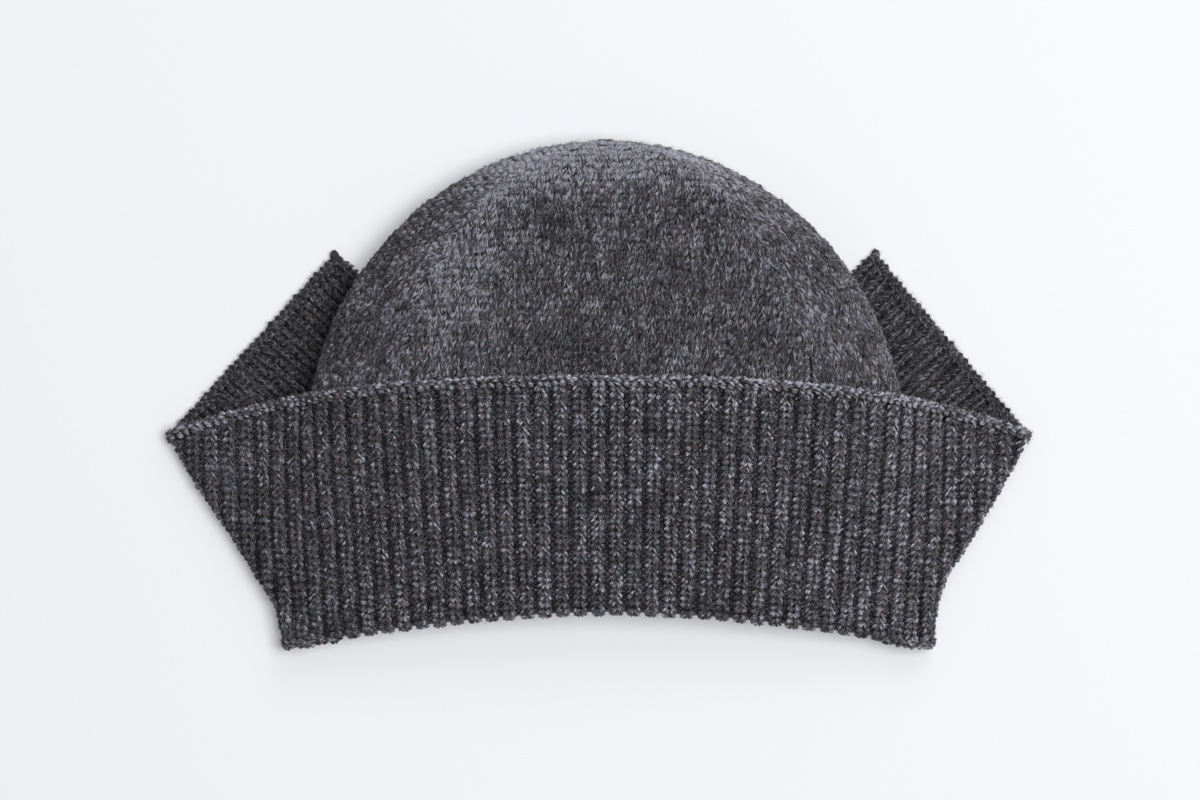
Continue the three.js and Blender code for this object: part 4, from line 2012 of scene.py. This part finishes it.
    def end_links(self, side: Side) -> Legs:
        """The edge stitches up the strip's end on one side, with a small knot at the free corner.

        Args:
            side: side of the hat.

        Returns:
            The strands.
        """
        ends = self.ends
        ups = np.arange(self.course * 0.4, self.form.width, self.course)
        ribs = np.full(ups.shape, side.value * (self.ribs_to_end - ends.inset))
        at, normal, up, _ = self.surface(ribs, ups)
        outward = unit(np.cross(up, normal)) * side.value
        leg = [ends.width, self.course * ends.overlap, ends.height]
        parts = []
        for row in END_ROWS:
            out = unit(normal * row.face + outward * ends.tilt)
            direction = unit(up + np.cross(out, up) * row.slant)
            beyond = ends.reach * (1 - abs(row.face))
            middle = at + normal * (ends.level * row.face) + outward * beyond
            parts.append(Legs(middle, out, direction, np.broadcast_to(leg, at.shape)))
        corner = at[-1:] + up[-1:] * ends.knot_rise
        out = unit(normal[-1:] + outward[-1:] * ends.knot_tilt)
        for turn in ends.knot_turns:
            direction = outward[-1:] * math.cos(turn) + up[-1:] * math.sin(turn)
            parts.append(Legs(corner, out, unit(direction), np.array([ends.knot_leg])))
        return Legs.joined(parts).plied(self.plying).lifted()

    def build(self, maker: LegMaker, wool: "Wools") -> None:
        """Builds and dresses all pieces of the band.

        Args:
            maker: what lays the stitches.
            wool: the finishes.
        """
        cloth = self.build_cloth()
        last = int(self.ribs_to_end)
        front = np.arange(-self.last_front_rib, self.last_front_rib + 1).astype(float)
        left = np.arange(-last, -self.last_front_rib).astype(float)
        right = -left[::-1]
        low = self.course * 0.5
        lowest = low - self.rows_below_hem * self.course
        inner_right = np.arange(self.first_inner_rib, last)
        inner_left = np.arange(0.5 - last, -self.first_inner_rib)
        sets = {
            "band_front_stitches": self.rib_legs(front, lowest),
            "band_groove_bars": self.groove_bars(),
            "left_flap_stitches": self.rib_legs(left, low, hidden=True),
            "right_flap_stitches": self.rib_legs(right, low, hidden=True),
            "left_flap_inner_stitches": self.rib_legs(inner_left, low, inner=True),
            "right_flap_inner_stitches": self.rib_legs(inner_right, low, inner=True),
            "bound_off_edge": self.edge_links(-self.last_front_rib, self.last_front_rib),
            "left_flap_edge": self.edge_links(self.link_trim - last, -self.last_front_rib),
            "right_flap_edge": self.edge_links(self.last_front_rib, last),
            "left_hem_edge": self.edge_links(self.link_trim - last, 0.0, hem=True),
            "right_hem_edge": self.edge_links(0.0, last, hem=True),
            "left_flap_end": self.end_links(Side.LEFT),
            "right_flap_end": self.end_links(Side.RIGHT),
        }
        pieces = []
        uneven = self.stitch.uneven
        for seed, (name, legs) in enumerate(sets.items(), start=self.first_piece_seed):
            # Flap pieces take the darker copy of the yarn, painted shade; the rest the lighter one,
            # painted light.
            yarn = wool.flap if "flap" in name else wool.rib
            # The groove bars take a darker copy of the yarn: painted shade in the grooves.
            yarn = wool.groove_painted_shade if name == "band_groove_bars" else yarn
            # Painted shade, growing towards the band's left end.
            left_shade = smooth(*self.left_shade_span, -legs.middles[:, 0])
            # Painted highlight on the bound-off edge, less the painted shade on the left.
            worn = self.edge_painted_highlight * (name == "bound_off_edge") - self.left_painted_shade * left_shade
            pieces.append(maker.lay(name, legs, self.shift, yarn, seed, uneven, worn=worn))
            if name in NAP_COUNTS:
                nap = legs.nap(np.random.default_rng(seed), NAP_COUNTS[name], NapForm()).lifted()
                title = name.replace("_stitches", "") + "_nap"
                fibre = wool.nap if yarn is wool.rib else wool.flap
                pieces.append(maker.lay(title, nap, self.shift, fibre, seed, 0.0, YarnForm.FIBRE))
        dress(cloth, "rib_knit", wool.painted_gap_shade)
        for piece in pieces:
            dress(piece, "rib_knit")
        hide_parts("ear_flap_band")


@dataclass(frozen=True)
class Wools:
    """The finishes of the hat: its yarns, the cloth behind them and the loose fibres on them."""

    jersey: bpy.types.Material
    # Lighter copy of the yarn: painted light on the cuff, which the lamps leave dim.
    rib: bpy.types.Material
    # Darker copy of the yarn: painted shade on the bars deep in the grooves.
    groove_painted_shade: bpy.types.Material
    # Darker copy of the yarn: painted shade on the flaps.
    flap: bpy.types.Material
    # Very dark copy of the yarn: painted shade in the gaps between the stitches.
    painted_gap_shade: bpy.types.Material
    nap: bpy.types.Material


@dataclass
class Studio:
    """Pale table, soft light and the camera straight above.

    The camera's distance, the table and the lamps are in metres. The pixel, the aim and the
    shift are in millimetres.
    """

    shift: Array
    image_width: float = 1200.0
    image_height: float = 800.0
    centre_pixel: tuple[float, float] = (598.0, 398.0)
    pixel: float = 0.375
    distance: float = 2.2
    sensor: float = 36.0
    aim_level: float = 12.0
    far_limit: float = 20.0
    table_reach: float = 3.0
    table_tint: tuple[float, float, float, float] = (0.655, 0.66, 0.68, 1.0)
    table_glow: float = 0.32
    sky_tint: tuple[float, float, float, float] = (0.95, 0.96, 1.0, 1.0)
    sky_strength: float = 0.27

    def camera(self) -> None:
        """The camera, looking straight down with a long lens."""
        x = (self.image_width / 2 - self.centre_pixel[0]) * self.pixel + self.shift[0]
        y = (self.centre_pixel[1] - self.image_height / 2) * self.pixel + self.shift[1]
        data = bpy.data.cameras.new("camera")
        data.sensor_width = self.sensor
        data.lens = self.sensor * self.distance / (self.image_width * self.pixel * MM)
        data.clip_end = self.far_limit
        camera = bpy.data.objects.new("camera", data)
        camera.location = (x * MM, y * MM, self.distance + self.aim_level * MM)
        bpy.context.collection.objects.link(camera)
        bpy.context.scene.camera = camera

    def table(self) -> None:
        """A wide pale table top."""
        mesh = bpy.data.meshes.new("table_top")
        reach = self.table_reach
        corners = [(-reach, -reach, 0), (reach, -reach, 0), (reach, reach, 0), (-reach, reach, 0)]
        mesh.from_pydata(corners, [], [(0, 1, 2, 3)])
        table = bpy.data.objects.new("table_top", mesh)
        bpy.context.collection.objects.link(table)
        graph = Graph("pale_table")
        graph.close(
            {
                "Base Color": self.table_tint,
                "Roughness": 0.8,
                "Specular IOR Level": 0.1,
                "Emission Color": self.table_tint,
                "Emission Strength": self.table_glow,
            }
        )
        mesh.materials.append(graph.material)

    def light(self) -> None:
        """A large lamp overhead, a soft window light from beyond the crown and an even sky."""
        world = bpy.data.worlds.new("soft_sky")
        bpy.context.scene.world = world
        world.use_nodes = True
        sky = world.node_tree.nodes["Background"]
        sky.inputs["Color"].default_value = self.sky_tint
        sky.inputs["Strength"].default_value = self.sky_strength
        lamps = (
            ("overhead", (1.05, 0.12, 2.7), 1.5, 66.0),
            ("window", (0.7, 2.0, 1.8), 1.6, 16.0),
        )
        for name, place, size, power in lamps:
            data = bpy.data.lights.new(name, "AREA")
            data.shape = "SQUARE"
            data.size = size
            data.energy = power
            lamp = bpy.data.objects.new(name, data)
            lamp.location = place
            lamp.rotation_mode = "QUATERNION"
            lamp.rotation_quaternion = (-Vector(place)).to_track_quat("-Z", "Y")
            bpy.context.collection.objects.link(lamp)

    def build(self) -> None:
        """Sets up the whole studio."""
        bpy.context.scene.view_settings.view_transform = "Standard"
        self.camera()
        self.table()
        self.light()


def frame_shift(form: CrownForm) -> Array:
    """Move from the hat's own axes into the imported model's frame, in millimetres.

    Args:
        form: the crown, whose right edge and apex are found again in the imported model.

    Returns:
        What is added to a point.
    """
    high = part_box("crown")[1]
    corner_x = form.axis_x + form.half_breadth + form.flare
    return np.array([high[0] / MM - corner_x, high[1] / MM - form.apex()[1], 0.0])


def main() -> None:
    """Builds the studio and the hat."""
    logging.basicConfig(level=logging.INFO, format="%(name)s: %(message)s")
    crown_form = CrownForm()
    band_form = BandForm(crown=crown_form)
    shift = frame_shift(crown_form)
    log.info("shift %s", shift)
    Studio(shift=shift).build()
    wool = Wools(
        jersey=WoolFinish("charcoal_wool_jersey", depth=0.88).material(),
        # The cuff's lighter copy of the yarn is painted light.
        rib=WoolFinish("charcoal_wool_rib", depth=1.25).material(),
        # The groove bars' darker copy of the yarn is painted shade.
        groove_painted_shade=WoolFinish("charcoal_wool_groove", depth=0.75).material(),
        # The flaps' darker copy of the yarn is painted shade.
        flap=WoolFinish("charcoal_wool_flap", depth=0.58).material(),
        # The cloth's very dark finish is painted shade between the stitches.
        painted_gap_shade=WoolFinish("charcoal_wool_ground", depth=0.25, has_legs=False).material(),
        # Lighter than the yarn; massed on the crown's shoulders and slopes, partly a painted sheen
        # highlight.
        nap=WoolFinish("charcoal_wool_nap", depth=1.5).material(),
    )
    flaps = [band_form.flap_corners(side) for side in Side]
    maker = LegMaker()
    crown = Crown(form=crown_form, flaps=flaps, shift=shift)
    band = Band(form=band_form, shift=shift)
    band.build(maker, wool)
    crown.build(maker, wool)
    maker.put_away()


if __name__ == "__main__":
    main()
